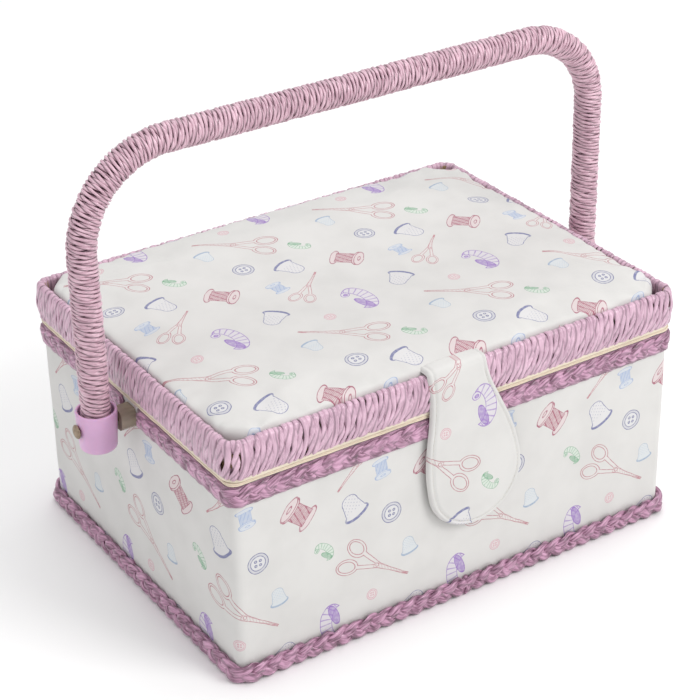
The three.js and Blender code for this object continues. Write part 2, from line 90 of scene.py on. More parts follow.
HANDLE_LOOK = {
    "samples": 56, "around": 12, "lean": 0.35, "lean_phase": 0.0, "wander": 0.17, "ply": 20.0,
    "jitter": 1.5, "lobe": 0.32, "half_width": 1.22, "half_thickness": 1.15, "bulge": 0.0,
}
RIM_LOOK = {
    "samples": 52, "around": 12, "lean": 1.5, "lean_phase": 0.0, "wander": 0.3, "ply": -30.0,
    "jitter": 1.9, "lobe": 0.33, "half_width": 2.1, "half_thickness": 0.85, "bulge": 1.6,
}
RIM_WIDTH = 4.6
RIM_RADIUS = 9.5
RIM_SKIRT = 1.7

UPPER_LOOK = {
    "step": 0.9, "around": 14, "wave": 26.0, "swing": 2.8, "depth": 0.5, "base": 1.0,
    "half_width": 3.3, "half_thickness": 0.95,
}
LOWER_LOOK = {
    "step": 0.9, "around": 14, "wave": 30.0, "swing": 3.1, "depth": 1.2, "base": 2.4,
    "half_width": 3.0, "half_thickness": 1.5,
}

PAD_REACH = (149.3, 111.3)
PAD_RADIUS = 6.0
PAD_EDGE_LIFT = 4.6
PAD_CORNER_LIFT = 4.0


# ---------------------------------------------------------------- meshes


def box_mm(node):
    low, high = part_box(node)
    return np.array(low) / MM, np.array(high) / MM


def new_object(name, mesh):
    obj = bpy.data.objects.new(name, mesh)
    bpy.context.scene.collection.objects.link(obj)
    return obj


def quad_mesh(name, points, quads, uv=None, smooth=True):
    """An object from points in mm, four-sided faces, and one UV pair for each corner of each face."""
    mesh = bpy.data.meshes.new(name)
    mesh.vertices.add(len(points))
    mesh.vertices.foreach_set("co", (points * MM).astype(np.float32).ravel())
    mesh.loops.add(quads.size)
    mesh.loops.foreach_set("vertex_index", quads.astype(np.int32).ravel())
    mesh.polygons.add(len(quads))
    mesh.polygons.foreach_set("loop_start", np.arange(0, quads.size, 4, dtype=np.int32))
    mesh.polygons.foreach_set("use_smooth", np.full(len(quads), smooth))
    mesh.update(calc_edges=True)
    if uv is not None:
        layer = mesh.uv_layers.new(name="UVMap")
        layer.data.foreach_set("uv", uv.astype(np.float32).ravel())
    return new_object(name, mesh)


def grid_quads(rows, columns, close_rows=False, close_columns=False):
    """Faces of a grid of points stored row by row, and the row and column of each face corner for its UVs."""
    r = np.arange(rows if close_rows else rows - 1)
    c = np.arange(columns if close_columns else columns - 1)
    r0, c0 = np.meshgrid(r, c, indexing="ij")
    corner_rows = np.stack([r0, r0, r0 + 1, r0 + 1], -1).reshape(-1, 4)
    corner_columns = np.stack([c0, c0 + 1, c0 + 1, c0], -1).reshape(-1, 4)
    quads = (corner_rows % rows) * columns + corner_columns % columns
    return quads, corner_rows, corner_columns


def grid_object(name, points, u, v, close_rows=False, close_columns=False, caps=False):
    """A skin over points[row, column], with u at each row and v at each column, and one more if closed."""
    rows, columns = points.shape[:2]
    quads, corner_rows, corner_columns = grid_quads(rows, columns, close_rows, close_columns)
    uv = np.stack([u[corner_rows], v[corner_columns]], -1)
    if caps:
        end = end_cap(columns)
        last = (rows - 1) * columns
        quads = np.concatenate([quads, end[:, ::-1], end + last])
        flat = np.zeros((2 * len(end), 4, 2))
        uv = np.concatenate([uv, flat])
    return quad_mesh(name, points.reshape(-1, 3), quads, uv)


def end_cap(count):
    """Four-sided faces that close a ring with an even number of points."""
    i = np.arange(count // 2 - 1)
    return np.stack([i, i + 1, count - 2 - i, count - 1 - i], -1)


def finish_piece(obj, body, slot, material, *nodes):
    obj.data.materials.clear()
    obj.data.materials.append(material)
    if nodes:
        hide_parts(*nodes)
    if body:
        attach(obj, body)
    return obj


def ripple(x, y, seed=0.0):
    """A smooth uneven height from -1 to 1 over a surface in mm."""
    a = np.sin(x * 0.071 + y * 0.047 + seed) + np.sin(x * 0.033 - y * 0.083 + 2.1 * seed + 1.3)
    b = np.sin(x * 0.151 - y * 0.12 + 0.7 * seed + 0.4) + np.sin(x * 0.19 + y * 0.23 + 1.7 * seed)
    return (a + 0.6 * b) / 3.2


def ease(t):
    t = np.clip(t, 0, 1)
    return t * t * (3 - 2 * t)


class Loop:
    """A rectangle with round corners, measured along its edge from the middle of its low side."""

    def __init__(self, half_x, half_y, radius, arc_steps=24):
        x, y = half_x - radius, half_y - radius
        points, normals = [(0.0, -half_y)], [(0.0, -1.0)]
        for centre, start in (((x, -y), -90), ((x, y), 0), ((-x, y), 90), ((-x, -y), 180)):
            for i in range(arc_steps + 1):
                angle = math.radians(start + 90 * i / arc_steps)
                normals.append((math.cos(angle), math.sin(angle)))
                points.append((centre[0] + radius * normals[-1][0], centre[1] + radius * normals[-1][1]))
        points.append(points[0])
        normals.append(normals[0])
        self.points = np.array(points)
        self.normals = np.array(normals)
        steps = np.linalg.norm(np.diff(self.points, axis=0), axis=1)
        self.along = np.concatenate([[0], np.cumsum(steps)])
        self.length = self.along[-1]

    def at(self, s):
        """Places and outward directions at distances s."""
        s = np.mod(s, self.length)
        place = np.stack([np.interp(s, self.along, self.points[:, k]) for k in (0, 1)], -1)
        normal = np.stack([np.interp(s, self.along, self.normals[:, k]) for k in (0, 1)], -1)
        return place, normal / np.linalg.norm(normal, axis=-1, keepdims=True)


class LevelPath:
    """A level loop round the box: origin, outward, up and forward directions at distances s."""

    def __init__(self, loop, z):
        self.loop = loop
        self.z = z

    def at(self, s):
        place, normal = self.loop.at(s)
        zero = np.zeros_like(s)
        origin = np.stack([place[..., 0], place[..., 1], zero + self.z], -1)
        outward = np.stack([normal[..., 0], normal[..., 1], zero], -1)
        up = np.stack([zero, zero, zero + 1], -1)
        forward = np.stack([-normal[..., 1], normal[..., 0], zero], -1)
        return origin, outward, up, forward


class HandlePath:
    """The handle's centre line, up the left arm, across and down the right arm."""

    def __init__(self, half_width, y, foot, top, left_radius, right_radius):
        points, outward = [(-half_width, foot)], [(-1.0, 0.0)]
        bends = ((-half_width + left_radius, left_radius, 180), (half_width - right_radius, right_radius, 90))
        for centre_x, radius, start in bends:
            for i in range(33):
                angle = math.radians(start - 90 * i / 32)
                direction = (math.cos(angle), math.sin(angle))
                outward.append(direction)
                points.append((centre_x + radius * direction[0], top - radius + radius * direction[1]))
        points.append((half_width, foot))
        outward.append((1.0, 0.0))
        self.points = np.array(points)
        self.outward = np.array(outward)
        steps = np.linalg.norm(np.diff(self.points, axis=0), axis=1)
        self.along = np.concatenate([[0], np.cumsum(steps)])
        self.length = self.along[-1]
        self.y = y

    def at(self, s):
        x, z = (np.interp(s, self.along, self.points[:, k]) for k in (0, 1))
        ox, oz = (np.interp(s, self.along, self.outward[:, k]) for k in (0, 1))
        size = np.hypot(ox, oz)
        ox, oz = ox / size, oz / size
        zero = np.zeros_like(s)
        origin = np.stack([x, zero + self.y, z], -1)
        outward = np.stack([ox, zero, oz], -1)
        side = np.stack([zero, zero - 1, zero], -1)
        forward = np.stack([oz, zero, -ox], -1)
        return origin, outward, side, forward


def wound_cord(name, path, section, pitch, first, last, look):
    """A two-ply cord wound round a path from turn first to turn last. section is the loop that the cord's
    middle follows in each turn. The UVs hold the distance along the cord in mm, and the ply's own angle."""
    samples, around = look["samples"], look["around"]
    turn = np.linspace(first, last, int((last - first) * samples) + 1)
    within = np.mod(turn, 1) * section.length
    place, normal = section.at(within)
    lean = look["lean"] * np.sin(2 * np.pi * within / section.length + look["lean_phase"])
    wander = look["wander"] * np.sin(turn * 12.9898 + 3.1 * np.sin(turn * 2.17))
    reach = section.points[:, 1].max()
    place[:, 0] += look["bulge"] * np.maximum(normal[:, 0], 0) * np.cos(place[:, 1] / reach * math.pi / 2)
    origin, outward, up, forward = path.at(pitch * turn + lean + wander)
    middle = origin + outward * place[:, :1] + up * place[:, 1:]
    radial = outward * normal[:, :1] + up * normal[:, 1:]
    distance = turn * section.length
    twist = 2 * np.pi * distance / look["ply"] + look["jitter"] * (np.sin(turn * 3.7) + np.sin(turn * 1.3))
    angle = np.arange(around) / around * 2 * np.pi
    spread = angle[None, :] - twist[:, None]
    swell = 1 + look["lobe"] * np.cos(2 * spread)
    size = 1 + 0.12 * np.sin(turn * 5.3 + 1.7 * np.sin(turn * 0.9))
    across = np.cos(angle)[None, :] * swell * size[:, None] * look["half_width"]
    out = np.sin(angle)[None, :] * swell * look["half_thickness"]
    points = middle[:, None] + forward[:, None] * across[..., None] + radial[:, None] * out[..., None]
    v = np.arange(around + 1) / around
    return grid_object(name, points, twist * look["ply"] / (2 * np.pi), v, close_columns=True, caps=True)


def sweep_section(name, path, start, end, profile, spacing=2.0, closed=False, uv_of=None, disturb=None):
    """A closed profile of (outward, up) pairs carried along a path from distance start to end."""
    count = max(int((end - start) / spacing), 2)
    s = start + (end - start) * np.arange(count + 1) / count
    s = s[:-1] if closed else s
    origin, outward, up, _ = path.at(s)
    profile = np.array(profile, float)
    offset = np.repeat(profile[None], len(s), 0)
    if disturb is not None:
        offset = disturb(s, offset)
    points = origin[:, None] + outward[:, None] * offset[..., :1] + up[:, None] * offset[..., 1:]
    edges = np.linalg.norm(np.diff(np.concatenate([profile, profile[:1]]), axis=0), axis=1)
    v = np.concatenate([[0], np.cumsum(edges)])
    u = start + (end - start) * np.arange(count + 1) / count
    if uv_of is not None:
        u, v = uv_of(u, v)
    return grid_object(name, points, u, v, close_rows=closed, close_columns=True, caps=not closed)


def rounded_profile(low_out, high_out, low_up, high_up, radius, steps=4):
    """A rounded rectangle as (outward, up) pairs."""
    points = []
    corners = (
        (high_out - radius, high_up - radius, 0),
        (low_out + radius, high_up - radius, 90),
        (low_out + radius, low_up + radius, 180),
        (high_out - radius, low_up + radius, 270),
    )
    for out, up, start in corners:
        for i in range(steps + 1):
            angle = math.radians(start + 90 * i / steps)
            points.append((out + radius * math.cos(angle), up + radius * math.sin(angle)))
    return points


def lathe(name, profile, segments=64):
    """A turned form round Z from (radius, height) pairs in mm."""
    profile = np.array(profile, float)
    angle = np.arange(segments) / segments * 2 * np.pi
    ring = np.stack([np.cos(angle), np.sin(angle)], -1)
    flat = ring[None] * profile[:, :1, None]
    height = np.repeat(profile[:, 1][:, None, None], segments, 1)
    points = np.concatenate([flat, height], -1)
    v = np.arange(segments + 1) / segments
    return grid_object(name, points, profile[:, 1], v, close_columns=True, caps=True)


def arc_points(centre_x, centre_y, radius, start, end, steps=6):
    angles = np.radians(np.linspace(start, end, steps))
    return [(centre_x + radius * math.cos(a), centre_y + radius * math.sin(a)) for a in angles]


# ---------------------------------------------------------------- shader arithmetic


class Value:
    """A number or vector in a node tree that adds, multiplies and compares like a plain one."""

    def __init__(self, tree, socket):
        self.tree = tree
        self.socket = socket

    def math(self, operation, *others):
        made = self.tree.nodes.new("ShaderNodeMath")
        made.operation = operation
        for socket, value in zip(made.inputs, (self, *others)):
            put(self.tree, socket, value)
        return Value(self.tree, made.outputs[0])

    def __add__(self, other):
        return self.math("ADD", other)

    def __sub__(self, other):
        return self.math("SUBTRACT", other)

    def __mul__(self, other):
        return self.math("MULTIPLY", other)

    def __rsub__(self, other):
        return self.math("MULTIPLY_ADD", -1.0, other)

    def __abs__(self):
        return self.math("ABSOLUTE")

    def min(self, other):
        return self.math("MINIMUM", other)

    def max(self, other):
        return self.math("MAXIMUM", other)

    def vector(self, operation, *others, output=0):
        made = self.tree.nodes.new("ShaderNodeVectorMath")
        made.operation = operation
        for socket, value in zip(made.inputs, (self, *others)):
            put(self.tree, socket, value)
        return Value(self.tree, made.outputs[output])

    def length(self):
        return self.vector("LENGTH", output="Value")

    def split(self):
        made = self.tree.nodes.new("ShaderNodeSeparateXYZ")
        put(self.tree, made.inputs[0], self)
        return [Value(self.tree, output) for output in made.outputs]


def put(tree, socket, value):
    if isinstance(value, Value):
        tree.links.new(value.socket, socket)
    else:
        socket.default_value = value


def mapped(value, place=(0, 0, 0), turn=0.0, scale=(1, 1, 1)):
    """The vector seen from a frame at place, turned by turn degrees and scaled."""
    made = value.tree.nodes.new("ShaderNodeMapping")
    made.vector_type = "TEXTURE"
    put(value.tree, made.inputs["Vector"], value)
    made.inputs["Location"].default_value = place
    made.inputs["Rotation"].default_value = (0, 0, math.radians(turn))
    made.inputs["Scale"].default_value = scale
    return Value(value.tree, made.outputs[0])


def ramp(value, low, high, start=0.0, end=1.0):
    made = value.tree.nodes.new("ShaderNodeMapRange")
    made.interpolation_type = "SMOOTHSTEP"
    for name, number in (("From Min", low), ("From Max", high), ("To Min", start), ("To Max", end)):
        made.inputs[name].default_value = number
    put(value.tree, made.inputs["Value"], value)
    return Value(value.tree, made.outputs[0])


def mixed(tree, factor, a, b, kind="RGBA"):
    made = tree.nodes.new("ShaderNodeMix")
    made.data_type = kind
    names = {"RGBA": ("A_Color", "B_Color"), "VECTOR": ("A_Vector", "B_Vector")}[kind]
    inputs = {s.identifier: s for s in made.inputs}
    put(tree, inputs["Factor_Float"], factor)
    for name, value in zip(names, (a, b)):
        put(tree, inputs[name], (*value, 1.0) if isinstance(value, tuple) and kind == "RGBA" else value)
    outputs = {s.identifier: s for s in made.outputs}
    return Value(tree, outputs["Result_Color" if kind == "RGBA" else "Result_Vector"])


def noise(value, scale, detail=2.0, output="Fac"):
    made = value.tree.nodes.new("ShaderNodeTexNoise")
    put(value.tree, made.inputs["Vector"], value)
    made.inputs["Scale"].default_value = scale
    made.inputs["Detail"].default_value = detail
    return Value(value.tree, made.outputs[output])


def new_material(name):
    material = bpy.data.materials.new(name)
    material.use_nodes = True
    tree = material.node_tree
    shader = next(n for n in tree.nodes if n.type == "BSDF_PRINCIPLED")
    return material, tree, shader


def uv_mm(tree):
    """UVs in mm, or along and around a cord."""
    made = tree.nodes.new("ShaderNodeUVMap")
    made.uv_map = "UVMap"
    return Value(tree, made.outputs[0])


def object_mm(tree):
    """Places in the object's own frame, in mm."""
    made = tree.nodes.new("ShaderNodeTexCoord")
    return mapped(Value(tree, made.outputs["Object"]), scale=(MM, MM, MM))


def set_bump(tree, shader, height, distance_mm, strength=1.0):
    made = tree.nodes.new("ShaderNodeBump")
    made.inputs["Distance"].default_value = distance_mm * MM
    made.inputs["Strength"].default_value = strength
    put(tree, made.inputs["Height"], height)
    tree.links.new(made.outputs[0], shader.inputs["Normal"])


def set_finish(shader, roughness, sheen=0.0, specular=0.5, metallic=0.0, coat=0.0):
    shader.inputs["Roughness"].default_value = roughness
    shader.inputs["Sheen Weight"].default_value = sheen
    shader.inputs["Sheen Roughness"].default_value = 0.4
    shader.inputs["Specular IOR Level"].default_value = specular
    shader.inputs["Metallic"].default_value = metallic
    shader.inputs["Coat Weight"].default_value = coat


def weave_height(place, period):
    """A plain weave's height over a surface in mm."""
    x, y, z = place.split()
    rate = 2 * math.pi / period
    return (x * rate).math("SINE") * (y * rate).math("SINE") + (z * rate).math("SINE") * 0.5


# ---------------------------------------------------------------- the print


class Motif:
    """A line drawing in its own frame. ink is where its lines are, and wash is where its colour lies."""

    def __init__(self, place):
        self.place = place
        self.x, self.y, _ = place.split()

    def oval(self, x, y, rx, ry, turn=0.0):
        """Nearly the signed distance from an ellipse's edge."""
        small = min(rx, ry)
        local = mapped(self.place, (x, y, 0), turn, (rx, ry, 1))
        return local.length().math("MULTIPLY_ADD", small, -small)

    def bar(self, x, y, turn, length, start_half, end_half):
        """Nearly the signed distance from a tapered bar that starts at x, y."""
        local_x, local_y, _ = mapped(self.place, (x, y, 0), turn).split()
        slope = (end_half - start_half) / length
        half = local_x.math("MULTIPLY_ADD", slope, start_half)
        beyond = abs(local_x - length / 2) - length / 2
        return (abs(local_y) - half).max(beyond)


def line_of(distance, half=LINE):
    return ramp(abs(distance), half + 0.14, half - 0.04)


def inside_of(distance):
    return ramp(distance, 0.15, -0.15)


def stripes(value, period, share):
    """Lines of a share of each period."""
    return ramp(abs((value * (1 / period)).math("FRACT") - 0.5), share * 0.5 + 0.06, share * 0.5 - 0.06)


def scissors(m):
    rings = []
    holes = []
    for side in (1, -1):
        rings.append(m.oval(-13.6, 6.2 * side, 7.6, 5.1, -14 * side))
        holes.append(m.oval(-13.9, 6.3 * side, 5.9, 3.6, -14 * side))
    arms = [m.bar(9, 0.5 * side, 180 - 15 * side, 18, 1.0, 1.3) for side in (1, -1)]
    blades = [m.bar(5, -0.4 * side, 1.9 * side, 27, 1.6, 0.1) for side in (1, -1)]
    hole = holes[0].min(holes[1])
    outline = rings[0].min(rings[1]).min(arms[0]).min(arms[1]).min(blades[0]).min(blades[1])
    solid = outline.max(0.0 - hole)
    ink = line_of(outline).max(line_of(hole)).max(line_of(blades[0]) * 0.6)
    screw = line_of(m.oval(7, 0, 1.1, 1.1))
    wash = inside_of(solid)
    grooves = stripes(m.x + m.y, 2.4, 0.3) * inside_of(blades[0].min(blades[1])) * 0.35
    return ink.max(screw).max(grooves), wash, wash * 0.0


def spool(m):
    near = m.oval(0, 8.6, 9.3, 3.3)
    lip = m.oval(0, 7.2, 9.3, 3.3)
    far = m.oval(0, -8.8, 9.3, 3.1)
    hole = m.oval(0, 8.7, 2.6, 0.9)
    thread = (abs(m.x) - 6.6).max(abs(m.y) - 8.0)
    thread = thread.max(0.0 - lip.min(near))
    ink = line_of(near).max(line_of(hole)).max(line_of(lip.max(0.0 - near)))
    below = far.max(0.0 - thread)
    ink = ink.max(line_of(below)).max(line_of(thread))
    hatch = stripes(m.y + m.x * 0.45, 1.25, 0.5) * inside_of(thread)
    cross = stripes(m.y * 0.5 - m.x, 4.6, 0.22) * inside_of(thread)
    wash = inside_of(near.min(lip).min(far).min(thread))
    return ink.max(hatch * 0.7).max(cross), wash, inside_of(thread)


def thimble(m):
    body = m.bar(0, -6, 90, 10.6, 7.5, 5.3)
    dome = m.oval(0, 4.4, 5.5, 4.8)
    mouth = m.oval(0, -6.2, 8.6, 3.4)
    whole = body.min(dome).min(mouth)
    rim = mouth.max(0.0 - m.oval(0, -4.9, 8.3, 3.0))
    dots = (m.x * 2.1).math("SINE") * (m.y * 2.1).math("SINE")
    dots = ramp(dots, 0.62, 0.8) * inside_of(whole.max(0.0 - mouth))
    ink = line_of(whole).max(inside_of(rim)).max(dots * 0.5)
    return ink, inside_of(whole), inside_of(rim)


def tape(m):
    roll = m.oval(0, 0, 8.6, 13.8)
    cut = m.oval(6.4, -0.6, 7.6, 11.2)
    band = roll.max(0.0 - cut)
    heart = m.oval(1.4, 6.0, 2.8, 7.2, 14)
    curl = m.oval(4.4, -8.6, 2.7, 2.5)
    eye = m.oval(4.3, -8.3, 1.3, 1.1)
    turn = m.y.math("ARCTAN2", m.x - 9.0)
    ticks = stripes(turn, 0.24, 0.2) * inside_of(band)
    ink = line_of(band).max(line_of(heart)).max(line_of(curl)).max(line_of(eye))
    wash = inside_of(band.min(heart).min(curl))
    return ink.max(ticks * 0.8), wash, inside_of(heart.min(eye))


def button(m):
    disc = m.oval(0, 0, 6.5, 6.5)
    well = m.oval(0, 0, 4.7, 4.7)
    folded = m.place.vector("ABSOLUTE")
    hole = mapped(folded, (1.45, 1.45, 0)).length() - 0.75
    ink = line_of(disc).max(line_of(well)).max(line_of(hole))
    return ink, inside_of(disc), inside_of(hole).max(inside_of(disc.max(0.0 - well)) * 0.5)


# Each kind of motif: its drawing, and for each one its place in the repeat, turn, size, line, wash and dark
# colour, and how strong the wash and the dark are.
PRINT = (
    (scissors, (
        ((36.1, 113.75), 146, 1.0, (0.42, 0.17, 0.20), (0.80, 0.70, 0.70), 0.2, 0.0),
        ((39.75, 42.25), 46, 0.72, (0.42, 0.13, 0.17), (0.80, 0.64, 0.66), 0.35, 0.0),
    )),
    (spool, (
        ((81.3, 63.7), -130, 0.88, (0.34, 0.10, 0.15), (0.70, 0.42, 0.47), 0.6, 0.25),
        ((26.8, 54.2), 10, 0.56, (0.30, 0.38, 0.56), (0.48, 0.58, 0.73), 0.8, 0.2),
    )),
    (thimble, (
        ((46.3, 72.2), -153, 0.95, (0.17, 0.18, 0.33), (0.72, 0.71, 0.78), 0.5, 0.45),
        ((6.3, 23.5), 135, 0.92, (0.17, 0.18, 0.33), (0.72, 0.71, 0.78), 0.5, 0.45),
        ((8.75, 112.5), 190, 0.65, (0.30, 0.38, 0.50), (0.56, 0.66, 0.74), 0.7, 0.2),
    )),
    (tape, (
        ((60.8, 15.5), 188, 1.0, (0.28, 0.16, 0.46), (0.66, 0.58, 0.76), 0.5, 0.95),
        ((65.5, 94.7), 40, 0.55, (0.16, 0.34, 0.21), (0.50, 0.68, 0.54), 0.8, 0.8),
    )),
    (button, (
        ((20.5, 85.5), 0, 1.0, (0.10, 0.11, 0.26), (0.66, 0.67, 0.74), 0.6, 0.5),
        ((34.3, 6.0), 0, 0.54, (0.55, 0.20, 0.28), (0.78, 0.56, 0.60), 0.5, 0.3),
    )),
)


def nearest_motif(tree, sheet, motifs):
    """The frame of whichever motif of one kind is nearest, with that motif's colours."""
    half = (PRINT_REPEAT[0] / 2, PRINT_REPEAT[1] / 2, 1.0)
    chosen = None
    for (x, y), turn, size, line, wash, wash_share, dark_share in motifs:
        moved = sheet.vector("SUBTRACT", (x, y, 0.0))
        wrapped = moved.vector("WRAP", half, tuple(-h for h in half))
        local = mapped(wrapped, (0, 0, 0), turn, (size, size, 1))
        mine = [local, line, wash, (wash_share,) * 3, (dark_share,) * 3]
        if chosen is None:
            chosen, nearest = mine, wrapped.length()
            continue
        length = wrapped.length()
        nearer = length.math("LESS_THAN", nearest)
        nearest = length.min(nearest)
        kinds = ("VECTOR", "RGBA", "RGBA", "VECTOR", "VECTOR")
        chosen = [mixed(tree, nearer, a, b, kind) for a, b, kind in zip(chosen, mine, kinds)]
    return chosen


def printed_colour(tree, sheet, cloth):
    """The cloth's colour with every motif of the print drawn on it."""
    wander = noise(sheet, 0.12, 1.0, "Color").vector("SUBTRACT", (0.5, 0.5, 0.5))
    place = wander.vector("MULTIPLY_ADD", (PRINT_WARP * 4, PRINT_WARP * 4, 0.0), sheet)
    strength = ramp(noise(sheet, 0.5, 3.0), 0.25, 0.6, 0.55, 1.0)
    colour = cloth
    for draw, motifs in PRINT:
        local, line, wash, wash_share, dark_share = nearest_motif(tree, place, motifs)
        ink, washed, dark = draw(Motif(local))
        wash_amount = wash_share.split()[0]
        dark_amount = dark_share.split()[0]
        colour = mixed(tree, washed * wash_amount * strength * 0.5, colour, wash)
        colour = mixed(tree, dark * dark_amount * strength * 0.75, colour, line)
        colour = mixed(tree, ink * strength * 0.95, colour, line)
    return colour


def print_material(name, warmth=(0.645, 0.637, 0.622)):
    """Printed cotton: a plain weave, faint slubs and the motifs, from UVs in mm."""
    material, tree, shader = new_material(name)
    sheet = uv_mm(tree)
    mottle = noise(sheet, 0.035, 3.0)
    deep = tuple(c * 0.93 for c in warmth)
    cloth = mixed(tree, ramp(mottle, 0.3, 0.75), warmth, deep)
    slub = noise(mapped(sheet, scale=(9.0, 0.8, 1)), 1.0, 2.0)
    cloth = mixed(tree, ramp(slub, 0.55, 0.85, 0.0, 0.25), cloth, deep)
    put(tree, shader.inputs["Base Color"], printed_colour(tree, sheet, cloth))
    set_finish(shader, 0.82, sheen=0.15, specular=0.25)
    weave = weave_height(sheet, 0.55) * 0.35 + noise(sheet, 2.2, 3.0) * 0.8
    set_bump(tree, shader, weave, 0.05, 0.5)
    return material


def cloth_material(name, colour, period=0.6, roughness=0.7, sheen=0.2, depth=0.06, specular=0.3):
    """A plain woven cloth in one colour, from places in the object's own frame."""
    material, tree, shader = new_material(name)
    place = object_mm(tree)
    deep = tuple(c * 0.86 for c in colour)
    mottle = ramp(noise(place, 0.05, 4.0), 0.3, 0.7)
    put(tree, shader.inputs["Base Color"], mixed(tree, mottle, colour, deep))
    set_finish(shader, roughness, sheen, specular)
    set_bump(tree, shader, weave_height(place, period) * 0.5 + noise(place, 0.4, 4.0), depth, 0.7)
    return material


def satin_material(name, colour):
    """Bias binding: shiny, with fine ribs along the band."""
    material, tree, shader = new_material(name)
    sheet = uv_mm(tree)
    deep = tuple(c * 0.8 for c in colour)
    uneven = ramp(noise(mapped(sheet, scale=(14.0, 0.7, 1)), 1.0, 3.0), 0.3, 0.8)
    put(tree, shader.inputs["Base Color"], mixed(tree, uneven, colour, deep))
    set_finish(shader, 0.42, 0.3, 0.45)
    fine = noise(mapped(sheet, scale=(5.0, 0.25, 1)), 1.0, 3.0)
    set_bump(tree, shader, fine, 0.12, 0.6)
    return material


def cord_material(name, light, deep, ply, fibre=(3.5, 0.036), roughness=0.33, groove_shade=0.8, blur=0.21):
    """A shiny two-ply cord, with painted shade in the grooves between its plies and painted highlights in
    pale patches. Its UVs hold the distance along it in mm and the angle round it.
    """
    material, tree, shader = new_material(name)
    sheet = uv_mm(tree)
    along, around, _ = sheet.split()
    phase = around * (4 * math.pi) - along * (4 * math.pi / ply)
    lobes = phase.math("COSINE")
    strand = mapped(sheet, scale=(*fibre, 1))
    fibres = noise(strand, 1.0, 3.0)
    # Painted highlight: pale patches, scattered at random over the cord, lighten its colour.
    highlight_patches = noise(mapped(object_mm(tree), scale=(1, 1, 1)), 0.11, 2.0)
    colour = mixed(tree, ramp(fibres, 0.51 - blur, 0.51 + blur), deep, light)
    painted_highlight = tuple(min(c * 1.22 + 0.03, 1.0) for c in light)
    colour = mixed(tree, ramp(highlight_patches, 0.35, 0.75, 0.0, 0.55), colour, painted_highlight)
    # Painted shade in the grooves between the plies: the colour darkens there towards this near-black tone.
    dark = tuple(c * 0.35 for c in deep)
    colour = mixed(tree, ramp(lobes, -0.55, -0.97, 0.0, groove_shade), colour, dark)
    put(tree, shader.inputs["Base Color"], colour)
    set_finish(shader, roughness, 0.2, 0.6, coat=0.12)
    set_bump(tree, shader, fibres * 0.7 + ramp(lobes, -1.0, -0.4), 0.25, 0.9)
    return material


def moulded_material(name, colour, roughness=0.32, clear=0.0, mottle_size=0.06):
    """Moulded plastic with a faint flow pattern and a fine uneven skin."""
    material, tree, shader = new_material(name)
    place = object_mm(tree)
    flow = ramp(noise(place, mottle_size, 3.0), 0.3, 0.75)
    deep = tuple(c * 0.9 for c in colour)
    put(tree, shader.inputs["Base Color"], mixed(tree, flow, colour, deep))
    set_finish(shader, roughness, 0.0, 0.5)
    shader.inputs["Transmission Weight"].default_value = clear
    shader.inputs["Subsurface Weight"].default_value = 0.0 if clear else 0.15
    shader.inputs["Subsurface Scale"].default_value = 0.002
    set_bump(tree, shader, noise(place, 0.9, 3.0), 0.04, 0.4)
    return material


def metal_material(name, colour, roughness):
    """Stamped metal with fine scratches and a tarnish."""
    material, tree, shader = new_material(name)
    place = object_mm(tree)
    tarnish = ramp(noise(place, 0.35, 4.0), 0.35, 0.7)
    deep = tuple(c * 0.6 for c in colour)
    put(tree, shader.inputs["Base Color"], mixed(tree, tarnish, colour, deep))
    set_finish(shader, roughness, 0.0, 0.5, metallic=0.85)
    scratches = noise(mapped(place, scale=(0.3, 4.0, 4.0)), 1.0, 3.0)
    set_bump(tree, shader, scratches, 0.03, 0.6)
    return material


def board_material(name, colour):
    """Pressed card or raw wood with long fibres."""
    material, tree, shader = new_material(name)
    place = object_mm(tree)
    fibres = noise(mapped(place, scale=(9.0, 1.2, 1.2)), 1.0, 4.0)
    deep = tuple(c * 0.62 for c in colour)
    put(tree, shader.inputs["Base Color"], mixed(tree, ramp(fibres, 0.35, 0.7), colour, deep))
    set_finish(shader, 0.8, 0.0, 0.3)
    set_bump(tree, shader, fibres, 0.15, 0.6)
    return material


def stage_material(name, colour):
    material, tree, shader = new_material(name)
    place = object_mm(tree)
    faint = tuple(c * 0.995 for c in colour)
    put(tree, shader.inputs["Base Color"], mixed(tree, noise(place, 0.004, 2.0), colour, faint))
    set_finish(shader, 0.9, 0.0, 0.1)
    return material


PRINT_CLOTH = print_material("printed_cotton")
CREAM = cloth_material("cream_lining", (0.74, 0.66, 0.53), 0.7, 0.6)
SATIN = satin_material("cream_satin", (0.80, 0.68, 0.53))
HANDLE_CORD = cord_material("handle_cord", (0.69, 0.47, 0.55), (0.43, 0.24, 0.31), 20.0, groove_shade=0.9)
RIM_CORD = cord_material("rim_cord", (0.65, 0.43, 0.54), (0.42, 0.25, 0.34), -30.0, groove_shade=0.55)
BRAID = cord_material(
    "plaited_trim", (0.54, 0.29, 0.43), (0.16, 0.06, 0.11), 26.0,
    fibre=(8.0, 0.07), roughness=0.4, groove_shade=0.45, blur=0.13,
)
LILAC_PLASTIC = moulded_material("lilac_plastic", (0.66, 0.40, 0.62), 0.34)
TRAY_PLASTIC = moulded_material("tray_plastic", (0.86, 0.84, 0.86), 0.28, 0.0, 0.02)
AMBER = moulded_material("amber_plastic", (0.55, 0.46, 0.36), 0.22, 0.55, 0.2)
BRASS = metal_material("brass", (0.34, 0.26, 0.19), 0.42)
STEEL = metal_material("steel", (0.52, 0.53, 0.55), 0.35)
BOARD = board_material("board", (0.44, 0.31, 0.17))
# The handle's core is real, but its near-black colour is painted shade that stands for the shade in the gaps
# between the wraps.
GAP_SHADE_CORE = board_material("core_painted_gap_shade", (0.10, 0.035, 0.06))
STITCH = cord_material("stitch_thread", (0.72, 0.70, 0.65), (0.60, 0.57, 0.51), 1.4, (3.5, 0.036), 0.6, 0.3)


# ---------------------------------------------------------------- wound and plaited pieces


